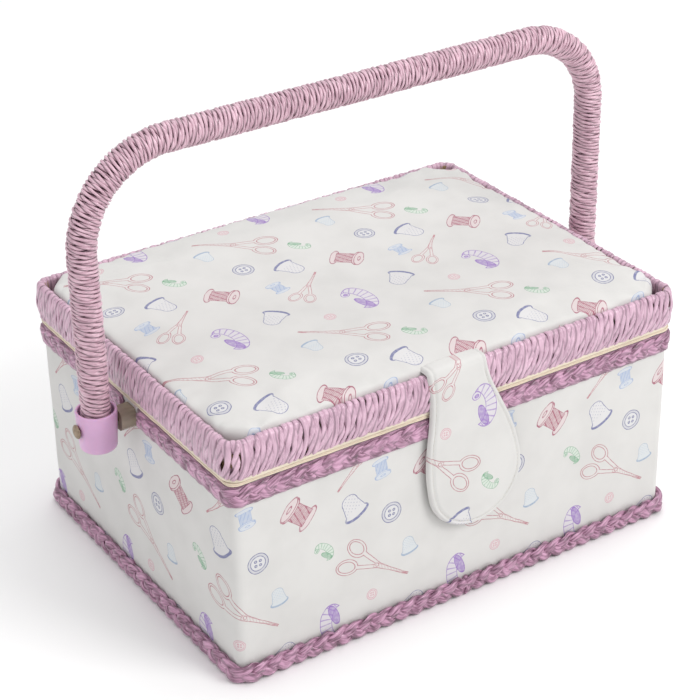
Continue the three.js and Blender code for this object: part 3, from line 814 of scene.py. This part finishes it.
def add_handle():
    low, _ = box_mm("handle_winding")
    socket_low, socket_high = box_mm("handle_socket_left")
    middle = (socket_low + socket_high) / 2
    foot = low[2] + 0.3
    path = HandlePath(-middle[0], middle[1], foot, HANDLE_TOP, HANDLE_LEFT_RADIUS, HANDLE_RIGHT_RADIUS)
    radius = HANDLE_RADIUS - HANDLE_LOOK["half_thickness"]
    section = Loop(radius, radius, radius - 0.01)
    turns = path.length / HANDLE_PITCH - 0.5
    parts = 3
    for i in range(parts):
        first, last = 0.3 + turns * i / parts, 0.3 + turns * (i + 1) / parts
        last = min(last, turns)
        name = "handle_winding_" + ("left", "top", "right")[i]
        piece = wound_cord(name, path, section, HANDLE_PITCH, first, last, HANDLE_LOOK)
        nodes = ("handle_winding", "handle_core") if i == 1 else ()
        finish_piece(piece, "handle", "twisted_cord", HANDLE_CORD, *nodes)
    # The core rod shows through the gaps between the wraps. Its near-black colour is painted shade for those
    # gaps.
    angle = np.arange(24) / 24 * 2 * np.pi
    profile = np.stack([np.cos(angle), np.sin(angle)], -1) * 6.5
    core = sweep_section("handle_core_rod", path, 0.2, path.length - 0.2, profile, 3.0)
    finish_piece(core, "handle", "board", GAP_SHADE_CORE)


def add_rim():
    low, high = box_mm("lid_rim_winding")
    thick = RIM_LOOK["half_thickness"]
    half_width, half_height = RIM_WIDTH / 2 - thick, (high[2] - low[2] + RIM_SKIRT) / 2 - thick
    inset = RIM_WIDTH / 2
    middle = Loop(high[0] - inset, high[1] - inset, RIM_RADIUS - inset)
    path = LevelPath(middle, (low[2] + high[2] - RIM_SKIRT) / 2)
    section = Loop(half_width, half_height, half_width - 0.01, 8)
    turns = round(middle.length / RIM_PITCH)
    pitch = middle.length / turns
    parts = 4
    for i in range(parts):
        first, last = turns * i / parts, turns * (i + 1) / parts
        name = ("front_right", "right_back", "back_left", "left_front")[i]
        piece = wound_cord(f"rim_winding_{name}", path, section, pitch, first, last, RIM_LOOK)
        nodes = ("lid_rim_winding",) if i == 0 else ()
        finish_piece(piece, "lid", "twisted_cord", RIM_CORD, *nodes)


def plait(name, path, start, end, look):
    """Three flat bundles of yarn, plaited. Joined into one mesh."""
    count = int((end - start) / look["step"])
    s = start + (end - start) * np.arange(count + 1) / count
    origin, outward, up, forward = path.at(s)
    angle = np.arange(look["around"]) / look["around"] * 2 * np.pi
    points, quads, uv = [], [], []
    for strand in range(3):
        phase = 2 * np.pi * ((s - start) / look["wave"] + strand / 3)
        fuzz = 0.35 * np.sin(s * 0.61 + strand * 2.1) + 0.2 * np.sin(s * 1.37 + strand)
        high = look["swing"] * np.sin(phase) + 0.4 * fuzz
        rise = look["swing"] * np.cos(phase) * 2 * np.pi / look["wave"]
        out = look["depth"] * np.sin(2 * phase) + look["base"]
        size = np.hypot(1, rise)
        aside = up / size[:, None] - forward * (rise / size)[:, None]
        middle = origin + up * high[:, None] + outward * out[:, None]
        ridge = 1 + 0.15 * np.cos(5 * angle[None, :] + s[:, None] * 0.35)
        wide = np.cos(angle)[None, :] * ridge * look["half_width"] * (1 + 0.12 * fuzz)[:, None]
        deep = np.sin(angle)[None, :] * ridge * look["half_thickness"]
        ring = middle[:, None] + aside[:, None] * wide[..., None] + outward[:, None] * deep[..., None]
        faces, corner_rows, corner_columns = grid_quads(len(s), len(angle), False, True)
        ends = end_cap(len(angle))
        faces = np.concatenate([faces, ends[:, ::-1], ends + (len(s) - 1) * len(angle)])
        pair = np.stack([s[corner_rows], corner_columns / len(angle)], -1)
        uv.append(np.concatenate([pair, np.zeros((2 * len(ends), 4, 2))]))
        quads.append(faces + strand * ring.shape[0] * ring.shape[1])
        points.append(ring.reshape(-1, 3))
    return quad_mesh(name, np.concatenate(points), np.concatenate(quads), np.concatenate(uv))


def side_distance(half_x, half_y, radius, y):
    """The distance along a loop at which its right side passes y."""
    return half_x - radius + radius * math.pi / 2 + y + half_y - radius


def add_braids():
    _, cover_high = box_mm("body_cover")
    low, high = box_mm("upper_braid_front")
    half_x, half_y, radius = cover_high[0], cover_high[1], CORNER_RADIUS
    loop = Loop(half_x, half_y, radius)
    path = LevelPath(loop, (low[2] + high[2]) / 2)
    stop = side_distance(half_x, half_y, radius, high[1])
    band = rounded_profile(0.1, 1.0, -6.3, 6.5, 0.3)
    front = plait("upper_plait_front", path, -stop, stop, UPPER_LOOK)
    backing = sweep_section("upper_band_front", path, -stop, stop, band, 3.0)
    finish_piece(backing, "base", "plaited_trim", BRAID)
    finish_piece(front, "base", "plaited_trim", BRAID, "upper_braid_front")
    back_low, _ = box_mm("upper_braid_back")
    begin = side_distance(half_x, half_y, radius, back_low[1])
    back = plait("upper_plait_back", path, begin, loop.length - begin, UPPER_LOOK)
    backing = sweep_section("upper_band_back", path, begin, loop.length - begin, band, 3.0)
    finish_piece(backing, "base", "plaited_trim", BRAID)
    finish_piece(back, "base", "plaited_trim", BRAID, "upper_braid_back")
    low, high = box_mm("lower_braid")
    path = LevelPath(loop, (low[2] + high[2]) / 2)
    lower = plait("lower_plait", path, 0.0, loop.length, LOWER_LOOK)
    finish_piece(lower, "base", "plaited_trim", BRAID, "lower_braid")


def add_piping():
    """Two satin bands, one folded over the box's top edge and one below it."""
    low, high = box_mm("body_edge_piping")
    half_x, half_y = high[0] - 1.2, high[1] - 1.2
    path = LevelPath(Loop(half_x, half_y, CORNER_RADIUS), 0.0)
    length = path.loop.length
    bottom, top = low[2], high[2]
    split = (bottom + top) / 2 + 0.05

    def uneven(s, offset):
        offset = offset.copy()
        offset[..., 0] += 0.12 * np.sin(s * 0.21)[:, None] + 0.08 * np.sin(s * 0.53)[:, None]
        offset[..., 1] += 0.06 * np.sin(s * 0.13 + 1)[:, None]
        return offset

    upper = rounded_profile(-6.4, 1.2, split + 0.08, top, 0.42)
    lower = rounded_profile(-6.4, 0.9, bottom, split - 0.08, 0.38)
    band = sweep_section("edge_piping_upper", path, 0, length, upper, 2.5, True, disturb=uneven)
    finish_piece(band, "base", "cream_lining", SATIN, "body_edge_piping")
    band = sweep_section("edge_piping_lower", path, 0, length, lower, 2.5, True, disturb=uneven)
    finish_piece(band, "base", "cream_lining", SATIN)


# ---------------------------------------------------------------- covers, pads and linings


def add_body_cover():
    """The printed cloth round the walls. Its print runs on round the corners."""
    low, high = box_mm("body_cover")
    path = LevelPath(Loop(high[0], high[1], CORNER_RADIUS), 0.0)
    length = path.loop.length
    heights = np.linspace(low[2] + 0.5, high[2] - 0.5, 26)
    outer = [(0.0, z) for z in heights]
    profile = [(-0.5, low[2]), *outer, (-0.5, high[2]), (-1.0, high[2] - 0.5), (-1.0, low[2] + 0.5)]

    def bowed(s, offset):
        offset = offset.copy()
        wave = ripple(s[:, None], offset[..., 1], 1.0)
        offset[..., 0] += np.where(offset[..., 0] > -0.4, 0.22 * (wave - 0.4), 0.0)
        return offset

    piece = sweep_section("body_cloth", path, -length / 2, length / 2, profile, 2.0, True, disturb=bowed)
    layer = piece.data.uv_layers["UVMap"].data
    uv = np.zeros(len(layer) * 2, np.float32)
    layer.foreach_get("uv", uv)
    uv = uv.reshape(-1, 2)
    mesh = piece.data
    corner = np.zeros(len(mesh.loops), np.int32)
    mesh.loops.foreach_get("vertex_index", corner)
    z = coordinates(mesh)[corner, 2] / MM
    s = uv[:, 0]
    beyond = np.maximum(-s - high[0], 0)
    most, reach = WALL_PRINT_TURN
    drop, over = WALL_PRINT_DROP
    uv[:, 0] = WALL_PRINT[0] - s - most * (1 - np.exp(-beyond / reach))
    uv[:, 1] = WALL_PRINT[1] - z - drop * ease(beyond / over)
    layer.foreach_set("uv", uv.ravel())
    return finish_piece(piece, "base", "printed_cotton", PRINT_CLOTH, "body_cover")


def own_copy(node, name):
    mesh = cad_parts[node].data.copy()
    mesh.name = name
    return new_object(name, mesh)


def remeshed(obj, voxel_mm):
    modifier = obj.modifiers.new("voxels", "REMESH")
    modifier.mode = "VOXEL"
    modifier.voxel_size = voxel_mm * MM
    graph = bpy.context.evaluated_depsgraph_get()
    mesh = bpy.data.meshes.new_from_object(obj.evaluated_get(graph))
    obj.modifiers.clear()
    obj.data = mesh
    return obj


def coordinates(mesh):
    co = np.zeros(len(mesh.vertices) * 3, np.float32)
    mesh.vertices.foreach_get("co", co)
    return co.reshape(-1, 3).astype(float)


def set_coordinates(mesh, co):
    mesh.vertices.foreach_set("co", co.astype(np.float32).ravel())
    mesh.update()


def inflated(obj, cap_side, cap_up, pinned, pressure=4.0):
    """Lets the cloth swell for 20 frames, and keeps each point within its cap in mm of where it was."""
    rest = coordinates(obj.data)
    group = obj.vertex_groups.new(name="pinned")
    group.add([int(i) for i in np.nonzero(pinned(rest / MM))[0]], 1.0, "REPLACE")
    modifier = obj.modifiers.new("cloth", "CLOTH")
    cloth = modifier.settings
    cloth.use_pressure = True
    cloth.uniform_pressure_force = pressure
    cloth.quality = 5
    cloth.tension_stiffness = 20
    cloth.compression_stiffness = 20
    cloth.bending_stiffness = 0.8
    cloth.vertex_group_mass = "pinned"
    cloth.effector_weights.gravity = 0
    modifier.point_cache.frame_start = 1
    modifier.point_cache.frame_end = 20
    for number in range(1, 21):
        bpy.context.scene.frame_set(number)
    graph = bpy.context.evaluated_depsgraph_get()
    settled = bpy.data.meshes.new_from_object(obj.evaluated_get(graph))
    moved = (coordinates(settled) - rest) / MM
    bpy.data.meshes.remove(settled)
    obj.modifiers.clear()
    obj.vertex_groups.clear()
    bpy.context.scene.frame_set(1)
    moved[:, :2] = np.clip(moved[:, :2], -cap_side, cap_side)
    moved[:, 2] = np.clip(moved[:, 2], -cap_up, cap_up)
    set_coordinates(obj.data, rest + moved * MM)
    return obj


def subdivided(obj, levels=1):
    modifier = obj.modifiers.new("finer", "SUBSURF")
    modifier.levels = levels
    modifier.render_levels = levels
    graph = bpy.context.evaluated_depsgraph_get()
    mesh = bpy.data.meshes.new_from_object(obj.evaluated_get(graph))
    obj.modifiers.clear()
    obj.data = mesh
    mesh.polygons.foreach_set("use_smooth", np.full(len(mesh.polygons), True))
    return obj


def planar_uv(obj, of_point):
    """UVs in mm from each point's place in mm."""
    mesh = obj.data
    layer = mesh.uv_layers.get("UVMap") or mesh.uv_layers.new(name="UVMap")
    corner = np.zeros(len(mesh.loops), np.int32)
    mesh.loops.foreach_get("vertex_index", corner)
    points = coordinates(mesh)[corner] / MM
    layer.data.foreach_set("uv", of_point(points).astype(np.float32).ravel())


def spread_to(flat, reach, radius, width):
    """Moves points near an outline out to it, where the outline is a rectangle with round corners."""
    q = np.abs(flat) - (np.array(reach) - radius)
    out = np.maximum(q, 0)
    beyond = np.linalg.norm(out, axis=1)
    depth = beyond + np.minimum(q.max(axis=1), 0) - radius
    nearest = (q == q.max(axis=1, keepdims=True)).astype(float)
    towards = np.where(beyond[:, None] > 0, out / np.maximum(beyond, 1e-6)[:, None], nearest)
    share = ease(1 + depth / width)
    return flat + np.sign(flat) * towards * (-depth * share)[:, None]


def lid_print(p):
    v = p[:, 1] + LID_PRINT[1]
    u = p[:, 0] + LID_PRINT[0] - LID_PRINT_SKEW * v
    return np.stack([u, v], -1)


def add_lid_pad():
    low, high = box_mm("lid_foam")
    pad = own_copy("lid_foam", "lid_padding")
    remeshed(pad, 5.0)
    inflated(pad, 1.2, 3.0, lambda p: p[:, 2] < low[2] + 6)
    subdivided(pad)
    co = coordinates(pad.data) / MM
    co[:, :2] = spread_to(co[:, :2], PAD_REACH, PAD_RADIUS, 24.0)
    edge = np.minimum(PAD_REACH[0] - np.abs(co[:, 0]), PAD_REACH[1] - np.abs(co[:, 1]))
    corner_x, corner_y = PAD_REACH[0] - np.abs(co[:, 0]), PAD_REACH[1] - np.abs(co[:, 1])
    corner = np.exp(-np.hypot(corner_x, corner_y) / 9.0)
    lift = PAD_EDGE_LIFT * np.exp(-np.maximum(edge, 0) / 22.0) + PAD_CORNER_LIFT * corner
    co[:, 2] += lift * ease((co[:, 2] - low[2] - 5) / 5)
    gather = np.exp(-np.square(np.maximum(edge - 4, 0) / 6.0)) * (co[:, 2] > low[2] + 5)
    corner = np.exp(-np.hypot(corner_x, corner_y) / 22.0)
    along = np.where(high[0] - np.abs(co[:, 0]) < high[1] - np.abs(co[:, 1]), co[:, 1], co[:, 0])
    pucker = np.sin(along * 0.55 + 1.3 * np.sin(along * 0.13)) * gather * (0.25 + 1.1 * corner)
    co[:, 2] += pucker + 0.35 * ripple(co[:, 0], co[:, 1], 3.0) * (co[:, 2] > low[2] + 8)
    set_coordinates(pad.data, co * MM)
    planar_uv(pad, lid_print)
    finish_piece(pad, "lid", "printed_cotton", PRINT_CLOTH, "lid_cover", "lid_foam")


def add_pin_cushion():
    _, high = box_mm("pin_cushion")
    pad = own_copy("pin_cushion", "pin_cushion_pad")
    remeshed(pad, 4.0)
    inflated(pad, 2.0, 2.5, lambda p: p[:, 2] > high[2] - 2.5)
    subdivided(pad)
    co = coordinates(pad.data) / MM
    co[:, 2] = np.minimum(co[:, 2], high[2])
    set_coordinates(pad.data, co * MM)
    planar_uv(pad, lid_print)
    finish_piece(pad, "lid", "printed_cotton", PRINT_CLOTH, "pin_cushion")


def add_pocket():
    """A gathered pocket under the lid, with a ruffled open edge."""
    low, high = box_mm("lid_pocket")
    columns, rows = 90, 40
    x = np.linspace(low[0], high[0], columns)
    t = np.linspace(0, 1, rows)
    y = low[1] + (high[1] - low[1]) * t
    gx, gy = np.meshgrid(x, y)
    gathers = np.sin(gx * 0.62 + 0.8 * np.sin(gx * 0.11)) * (0.25 + 0.75 * ease(t * 1.2)[:, None])
    border = np.minimum(np.minimum(gx - low[0], high[0] - gx) / 4, np.minimum((gy - low[1]) / 4, 1))
    drop = 1.3 * ease(border) + 0.45 * gathers * ease(border)
    points = np.stack([gx, gy, high[2] - 0.2 - drop], -1)
    piece = grid_object("lid_pocket_cloth", points, y, x)
    planar_uv(piece, lid_print)
    finish_piece(piece, "lid", "printed_cotton", PRINT_CLOTH, "lid_pocket")


def softened(node, name, body, slot, material, bevel_mm=0.6):
    """A copy of a CAD node with rolled edges, which stands for it."""
    piece = own_copy(node, name)
    modifier = piece.modifiers.new("rolled", "BEVEL")
    modifier.width = bevel_mm * MM
    modifier.segments = 3
    modifier.limit_method = "ANGLE"
    modifier.harden_normals = False
    graph = bpy.context.evaluated_depsgraph_get()
    mesh = bpy.data.meshes.new_from_object(piece.evaluated_get(graph))
    piece.modifiers.clear()
    piece.data = mesh
    mesh.polygons.foreach_set("use_smooth", np.full(len(mesh.polygons), True))
    mesh.set_sharp_from_angle(angle=math.radians(50))
    return finish_piece(piece, body, slot, material, node)


def add_linings():
    softened("body_lining", "body_lining_cloth", "base", "cream_lining", CREAM, 0.3)
    softened("lid_lining", "lid_lining_cloth", "lid", "cream_lining", CREAM, 0.6)
    for level in ("upper", "lower"):
        for side in ("front", "back"):
            name = f"{level}_ledge_{side}"
            softened(name, f"{name}_cloth", "base", "cream_lining", CREAM, 1.0)


def add_hinge_tape():
    """A strip of cloth along the hinge, made as one fixed band."""
    low, high = box_mm("hinge_tape")
    heights = np.linspace(low[2], high[2], 9)
    front = [(low[1] + 0.1, z) for z in heights]
    back = [(high[1] - 0.1, z) for z in heights[::-1]]
    outline = np.array(front + back)
    x = np.linspace(low[0], high[0], 91)
    points = np.stack([
        np.repeat(x[:, None], len(outline), 1),
        np.repeat(outline[None, :, 0], len(x), 0) + 0.08 * np.sin(x * 0.5)[:, None],
        np.repeat(outline[None, :, 1], len(x), 0),
    ], -1)
    v = np.arange(len(outline) + 1, dtype=float)
    piece = grid_object("hinge_tape_cloth", points, x, v, close_columns=True, caps=True)
    finish_piece(piece, None, "cream_lining", SATIN, "hinge_tape")
    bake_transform(piece)


# ---------------------------------------------------------------- the tab


def tab_half_width(down):
    """Half the flap's width at each distance down it, in mm."""
    round_start = TAB_LENGTH - TAB_FULL_HALF
    t = np.linspace(0, 1, 200)
    side_down = 3 * (1 - t) ** 2 * t * 0.3 * TAB_LENGTH
    side_down += 3 * (1 - t) * t**2 * 0.38 * TAB_LENGTH
    side_down += t**3 * round_start
    side_half = ((1 - t) ** 3 + 3 * (1 - t) ** 2 * t) * TAB_TOP_HALF
    side_half += (3 * (1 - t) * t**2 + t**3) * TAB_FULL_HALF
    upper = np.interp(down, side_down, side_half)
    below = np.clip(down - round_start, 0, TAB_FULL_HALF)
    lower = np.sqrt(np.maximum(TAB_FULL_HALF**2 - below**2, 0))
    return np.where(down < round_start, upper, lower)


def tab_point(x, down, out):
    """Where a point of the flap lies: across, down from the fold (less than nothing on the rim), and out."""
    tongue_low, tongue_high = box_mm("tab_tongue")
    middle = (tongue_low[0] + tongue_high[0]) / 2
    fold = 1.4
    centre_y, centre_z = tongue_low[1] - 0.3 + fold, tongue_low[2] - fold + 0.1
    turn = np.clip((down + fold * math.pi / 4) / fold, 0, math.pi / 2)
    beyond = np.maximum(down - fold * math.pi / 4, 0)
    before = np.minimum(down + fold * math.pi / 4, 0)
    y = centre_y - np.sin(turn) * (fold + out) - before - beyond * math.sin(TAB_TUCK)
    z = centre_z + np.cos(turn) * (fold + out)
    level = ease(beyond / 30.0)
    px = middle + x * (1 - (1 - math.cos(TAB_LEAN)) * level) + math.sin(TAB_LEAN) * beyond
    pz = z - beyond * math.cos(TAB_LEAN) + x * math.sin(TAB_LEAN) * level
    return np.stack([px, y, pz], -1)


def tab_edge_distance(x, down):
    """Roughly how far a point of the flap is inside its outline."""
    half = tab_half_width(down)
    round_start = TAB_LENGTH - TAB_FULL_HALF
    radial = TAB_FULL_HALF - np.hypot(x, np.maximum(down - round_start, 0))
    return np.where(down > round_start, radial, half - np.abs(x))


def tab_thickness(inside):
    edge = 1 - np.exp(-np.maximum(inside, 0) / 0.9)
    seam = 0.75 * np.exp(-np.square((inside - STITCH_INSET) / 0.75))
    swell = 0.5 * ease((inside - STITCH_INSET) / 12.0)
    return (TAB_THICKNESS - 0.7) * edge - seam + swell


def add_tab():
    tongue = 9.0
    upper = np.linspace(-tongue, TAB_LENGTH - TAB_FULL_HALF, 74)[:-1]
    lower = TAB_LENGTH - TAB_FULL_HALF * (1 - np.sin(np.linspace(0, math.pi / 2, 44)))
    down = np.concatenate([upper, lower])
    down[-1] -= 0.02
    across = np.sin(np.linspace(-math.pi / 2, math.pi / 2, 61))
    half = tab_half_width(np.maximum(down, 0))
    x = across[None, :] * half[:, None]
    d = np.repeat(down[:, None], len(across), 1)
    inside = tab_edge_distance(x, np.maximum(d, 0))
    thick = tab_thickness(inside) * ease((d + tongue + 1.0) / 3.0)
    thick += 0.15 * ripple(x * 2, d * 2, 5.0) * ease(inside / 6)
    front = tab_point(x, d, thick)
    lining = -TAB_BACK_SWELL * ease((d - 20) / 20)
    back = tab_point(x[:, ::-1], d[:, ::-1], lining)
    points = np.concatenate([front, back], 1)
    columns = points.shape[1]
    piece = grid_object("tab_cloth", points, down, np.arange(columns + 1.0), close_columns=True, caps=True)
    planar_uv(piece, lambda p: p[:, ::2] + TAB_PRINT)
    finish_piece(piece, None, "printed_cotton", PRINT_CLOTH, "tab_flap", "tab_tongue")
    thread = tab_stitches()
    finish_piece(thread, None, "printed_cotton", STITCH)
    for soft in (piece, thread):
        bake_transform(soft)


def tab_stitches():
    """A row of small raised stitches just inside the flap's edge."""
    round_start = TAB_LENGTH - TAB_FULL_HALF
    side = np.linspace(4, round_start, 60)
    half = tab_half_width(side) - STITCH_INSET
    turn = np.linspace(0, math.pi, 70)[1:-1]
    bend = TAB_FULL_HALF - STITCH_INSET
    x = np.concatenate([-half, -bend * np.cos(turn), half[::-1]])
    d = np.concatenate([side, round_start + bend * np.sin(turn), side[::-1]])
    along = np.concatenate([[0], np.cumsum(np.hypot(np.diff(x), np.diff(d)))])
    period, length = 2.6, 1.9
    points, quads, uv = [], [], []
    angle = np.arange(6) / 6 * 2 * np.pi
    for i in range(int(along[-1] / period)):
        s = i * period + np.linspace(0, length, 5)
        px, pd = np.interp(s, along, x), np.interp(s, along, d)
        tx, td = px[-1] - px[0], pd[-1] - pd[0]
        size = math.hypot(tx, td)
        arch = np.sin(np.linspace(0, math.pi, 5))
        wide = 0.22 * (0.35 + 0.65 * arch)
        base = tab_thickness(np.full(5, STITCH_INSET))
        sx = px[:, None] + np.cos(angle) * wide[:, None] * (-td / size)
        sd = pd[:, None] + np.cos(angle) * wide[:, None] * (tx / size)
        out = (base + 0.22 * arch - 0.05)[:, None] + np.sin(angle) * wide[:, None]
        ring = tab_point(sx, sd, out)
        faces, corner_rows, corner_columns = grid_quads(5, 6, False, True)
        ends = end_cap(6)
        faces = np.concatenate([faces, ends[:, ::-1], ends + 24])
        pair = np.stack([s[corner_rows], corner_columns / 6], -1)
        uv.append(np.concatenate([pair, np.zeros((2 * len(ends), 4, 2))]))
        quads.append(faces + i * 30)
        points.append(ring.reshape(-1, 3))
    return quad_mesh("tab_stitches", np.concatenate(points), np.concatenate(quads), np.concatenate(uv))


# ---------------------------------------------------------------- fittings


def add_sockets():
    for side in ("left", "right"):
        node = f"handle_socket_{side}"
        low, high = box_mm(node)
        middle = (low + high) / 2
        height = high[2] - low[2]
        top, foot, bore = 12.0, 10.8, 10.4
        profile = [(0.3, -height / 2 + 0.25)]
        profile += arc_points(foot - 2.5, -height / 2 + 2.5, 2.5, -90, 0, 9)
        profile += arc_points(top - 0.75, height / 2 - 0.75, 0.75, 0, 90, 7)
        profile += arc_points(bore + 0.5, height / 2 - 0.5, 0.5, 90, 180, 5)
        profile += [(bore - 0.05, 7.4), (bore - 0.6, 5.8), (0.3, 5.7)]
        cup = lathe(f"socket_cup_{side}", profile)
        cup.data.transform(Matrix.Translation(Vector(middle * MM)))
        finish_piece(cup, "handle", "lilac_plastic", LILAC_PLASTIC, node)


def add_rivets():
    for side, sign in (("left", -1), ("right", 1)):
        node = f"handle_rivet_{side}"
        low, high = box_mm(node)
        middle = (low + high) / 2
        outer, inner = (high[0], low[0]) if sign > 0 else (-low[0], -high[0])
        head = outer - 2.2
        profile = [(0.2, inner), (1.6, inner), (2.0, inner + 0.4), (2.0, head), (3.9, head)]
        profile += arc_points(3.9, head + 0.3, 0.3, -90, 0, 4)
        dome = np.radians((12, 26, 42, 58, 74, 86))
        profile += [(4.2 * math.cos(a), head + 0.5 + 1.7 * math.sin(a)) for a in dome]
        pin = lathe(f"rivet_pin_{side}", profile, 40)
        turn = Matrix.Rotation(sign * math.pi / 2, 4, "Y")
        pin.data.transform(Matrix.Translation(Vector((0, middle[1] * MM, middle[2] * MM))) @ turn)
        finish_piece(pin, "handle_pins", "brass", BRASS, node)


def dress_node(name, material, bevel_mm=0.4):
    """Gives a CAD node its material, and rounds its edges without changing its mesh."""
    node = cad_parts[name]
    node.data.materials.clear()
    node.data.materials.append(material)
    modifier = node.modifiers.new("edges", "BEVEL")
    modifier.width = bevel_mm * MM
    modifier.segments = 3
    modifier.limit_method = "ANGLE"
    modifier.angle_limit = math.radians(40)
    node.data.polygons.foreach_set("use_smooth", np.full(len(node.data.polygons), True))
    node.data.set_sharp_from_angle(angle=math.radians(40))


def dress_nodes():
    for name in ("front_board", "back_board", "left_board", "right_board", "lid_board", "lid_rim_core"):
        dress_node(name, BOARD)
    dress_node("base_board", CREAM, 0.6)
    for name in ("front_keeper_plate", "tab_magnet"):
        dress_node(name, STEEL, 0.2)
    for side in ("left", "right"):
        dress_node(f"handle_spacer_{side}", AMBER, 0.8)
        dress_node(f"rivet_washer_{side}", BRASS, 0.2)
    for name in ("upper_tray", "lower_tray"):
        dress_node(name, TRAY_PLASTIC, 0.5)


# ---------------------------------------------------------------- stage, light and camera


def add_floor():
    bpy.ops.mesh.primitive_grid_add(x_subdivisions=8, y_subdivisions=8, size=12)
    floor = bpy.context.object
    floor.name = "floor"
    floor.data.materials.append(stage_material("pale_floor", (0.93, 0.93, 0.93)))


def add_light(name, place, target, size, power, colour=(1, 1, 1)):
    lamp = bpy.data.lights.new(name, "AREA")
    lamp.shape = "SQUARE"
    lamp.size = size
    lamp.energy = power
    lamp.color = colour
    obj = new_object(name, lamp)
    obj.location = place
    obj.rotation_euler = (Vector(target) - Vector(place)).to_track_quat("-Z", "Y").to_euler()


def add_lights():
    world = bpy.data.worlds.new("studio")
    world.use_nodes = True
    background = world.node_tree.nodes["Background"]
    background.inputs["Color"].default_value = (1.0, 1.0, 1.0, 1.0)
    background.inputs["Strength"].default_value = 0.72
    bpy.context.scene.world = world
    centre = (0.0, 0.0, 0.12)
    add_light("key", (0.9, -1.6, 1.5), centre, 1.0, 25.0, (1.0, 0.99, 0.98))
    add_light("top", (0.3, 0.5, 2.0), centre, 1.6, 13.0)
    add_light("edge", (-1.6, -0.2, 0.9), centre, 1.0, 3.0, (0.97, 0.98, 1.0))


def add_camera():
    azimuth, down, roll = (math.radians(a) for a in (CAMERA_AZIMUTH, CAMERA_DOWN, CAMERA_ROLL))
    look = Vector((math.sin(azimuth) * math.cos(down), math.cos(azimuth) * math.cos(down), -math.sin(down)))
    right = Vector((math.cos(azimuth), -math.sin(azimuth), 0))
    up = right.cross(look)
    turned_right = right * math.cos(roll) + up * math.sin(roll)
    turned_up = up * math.cos(roll) - right * math.sin(roll)
    data = bpy.data.cameras.new("camera")
    data.lens = CAMERA_LENS
    data.sensor_width = 36.0
    data.clip_end = 50.0
    camera = new_object("camera", data)
    axes = Matrix((turned_right, turned_up, -look)).transposed()
    camera.matrix_world = Matrix.Translation(CAMERA_PLACE) @ axes.to_4x4()
    bpy.context.scene.camera = camera


bpy.context.scene.view_settings.view_transform = "Standard"
add_camera()
add_floor()
add_lights()
add_body_cover()
add_piping()
add_braids()
add_linings()
add_hinge_tape()
add_rim()
add_lid_pad()
add_pin_cushion()
add_pocket()
add_tab()
add_handle()
add_sockets()
add_rivets()
dress_nodes()
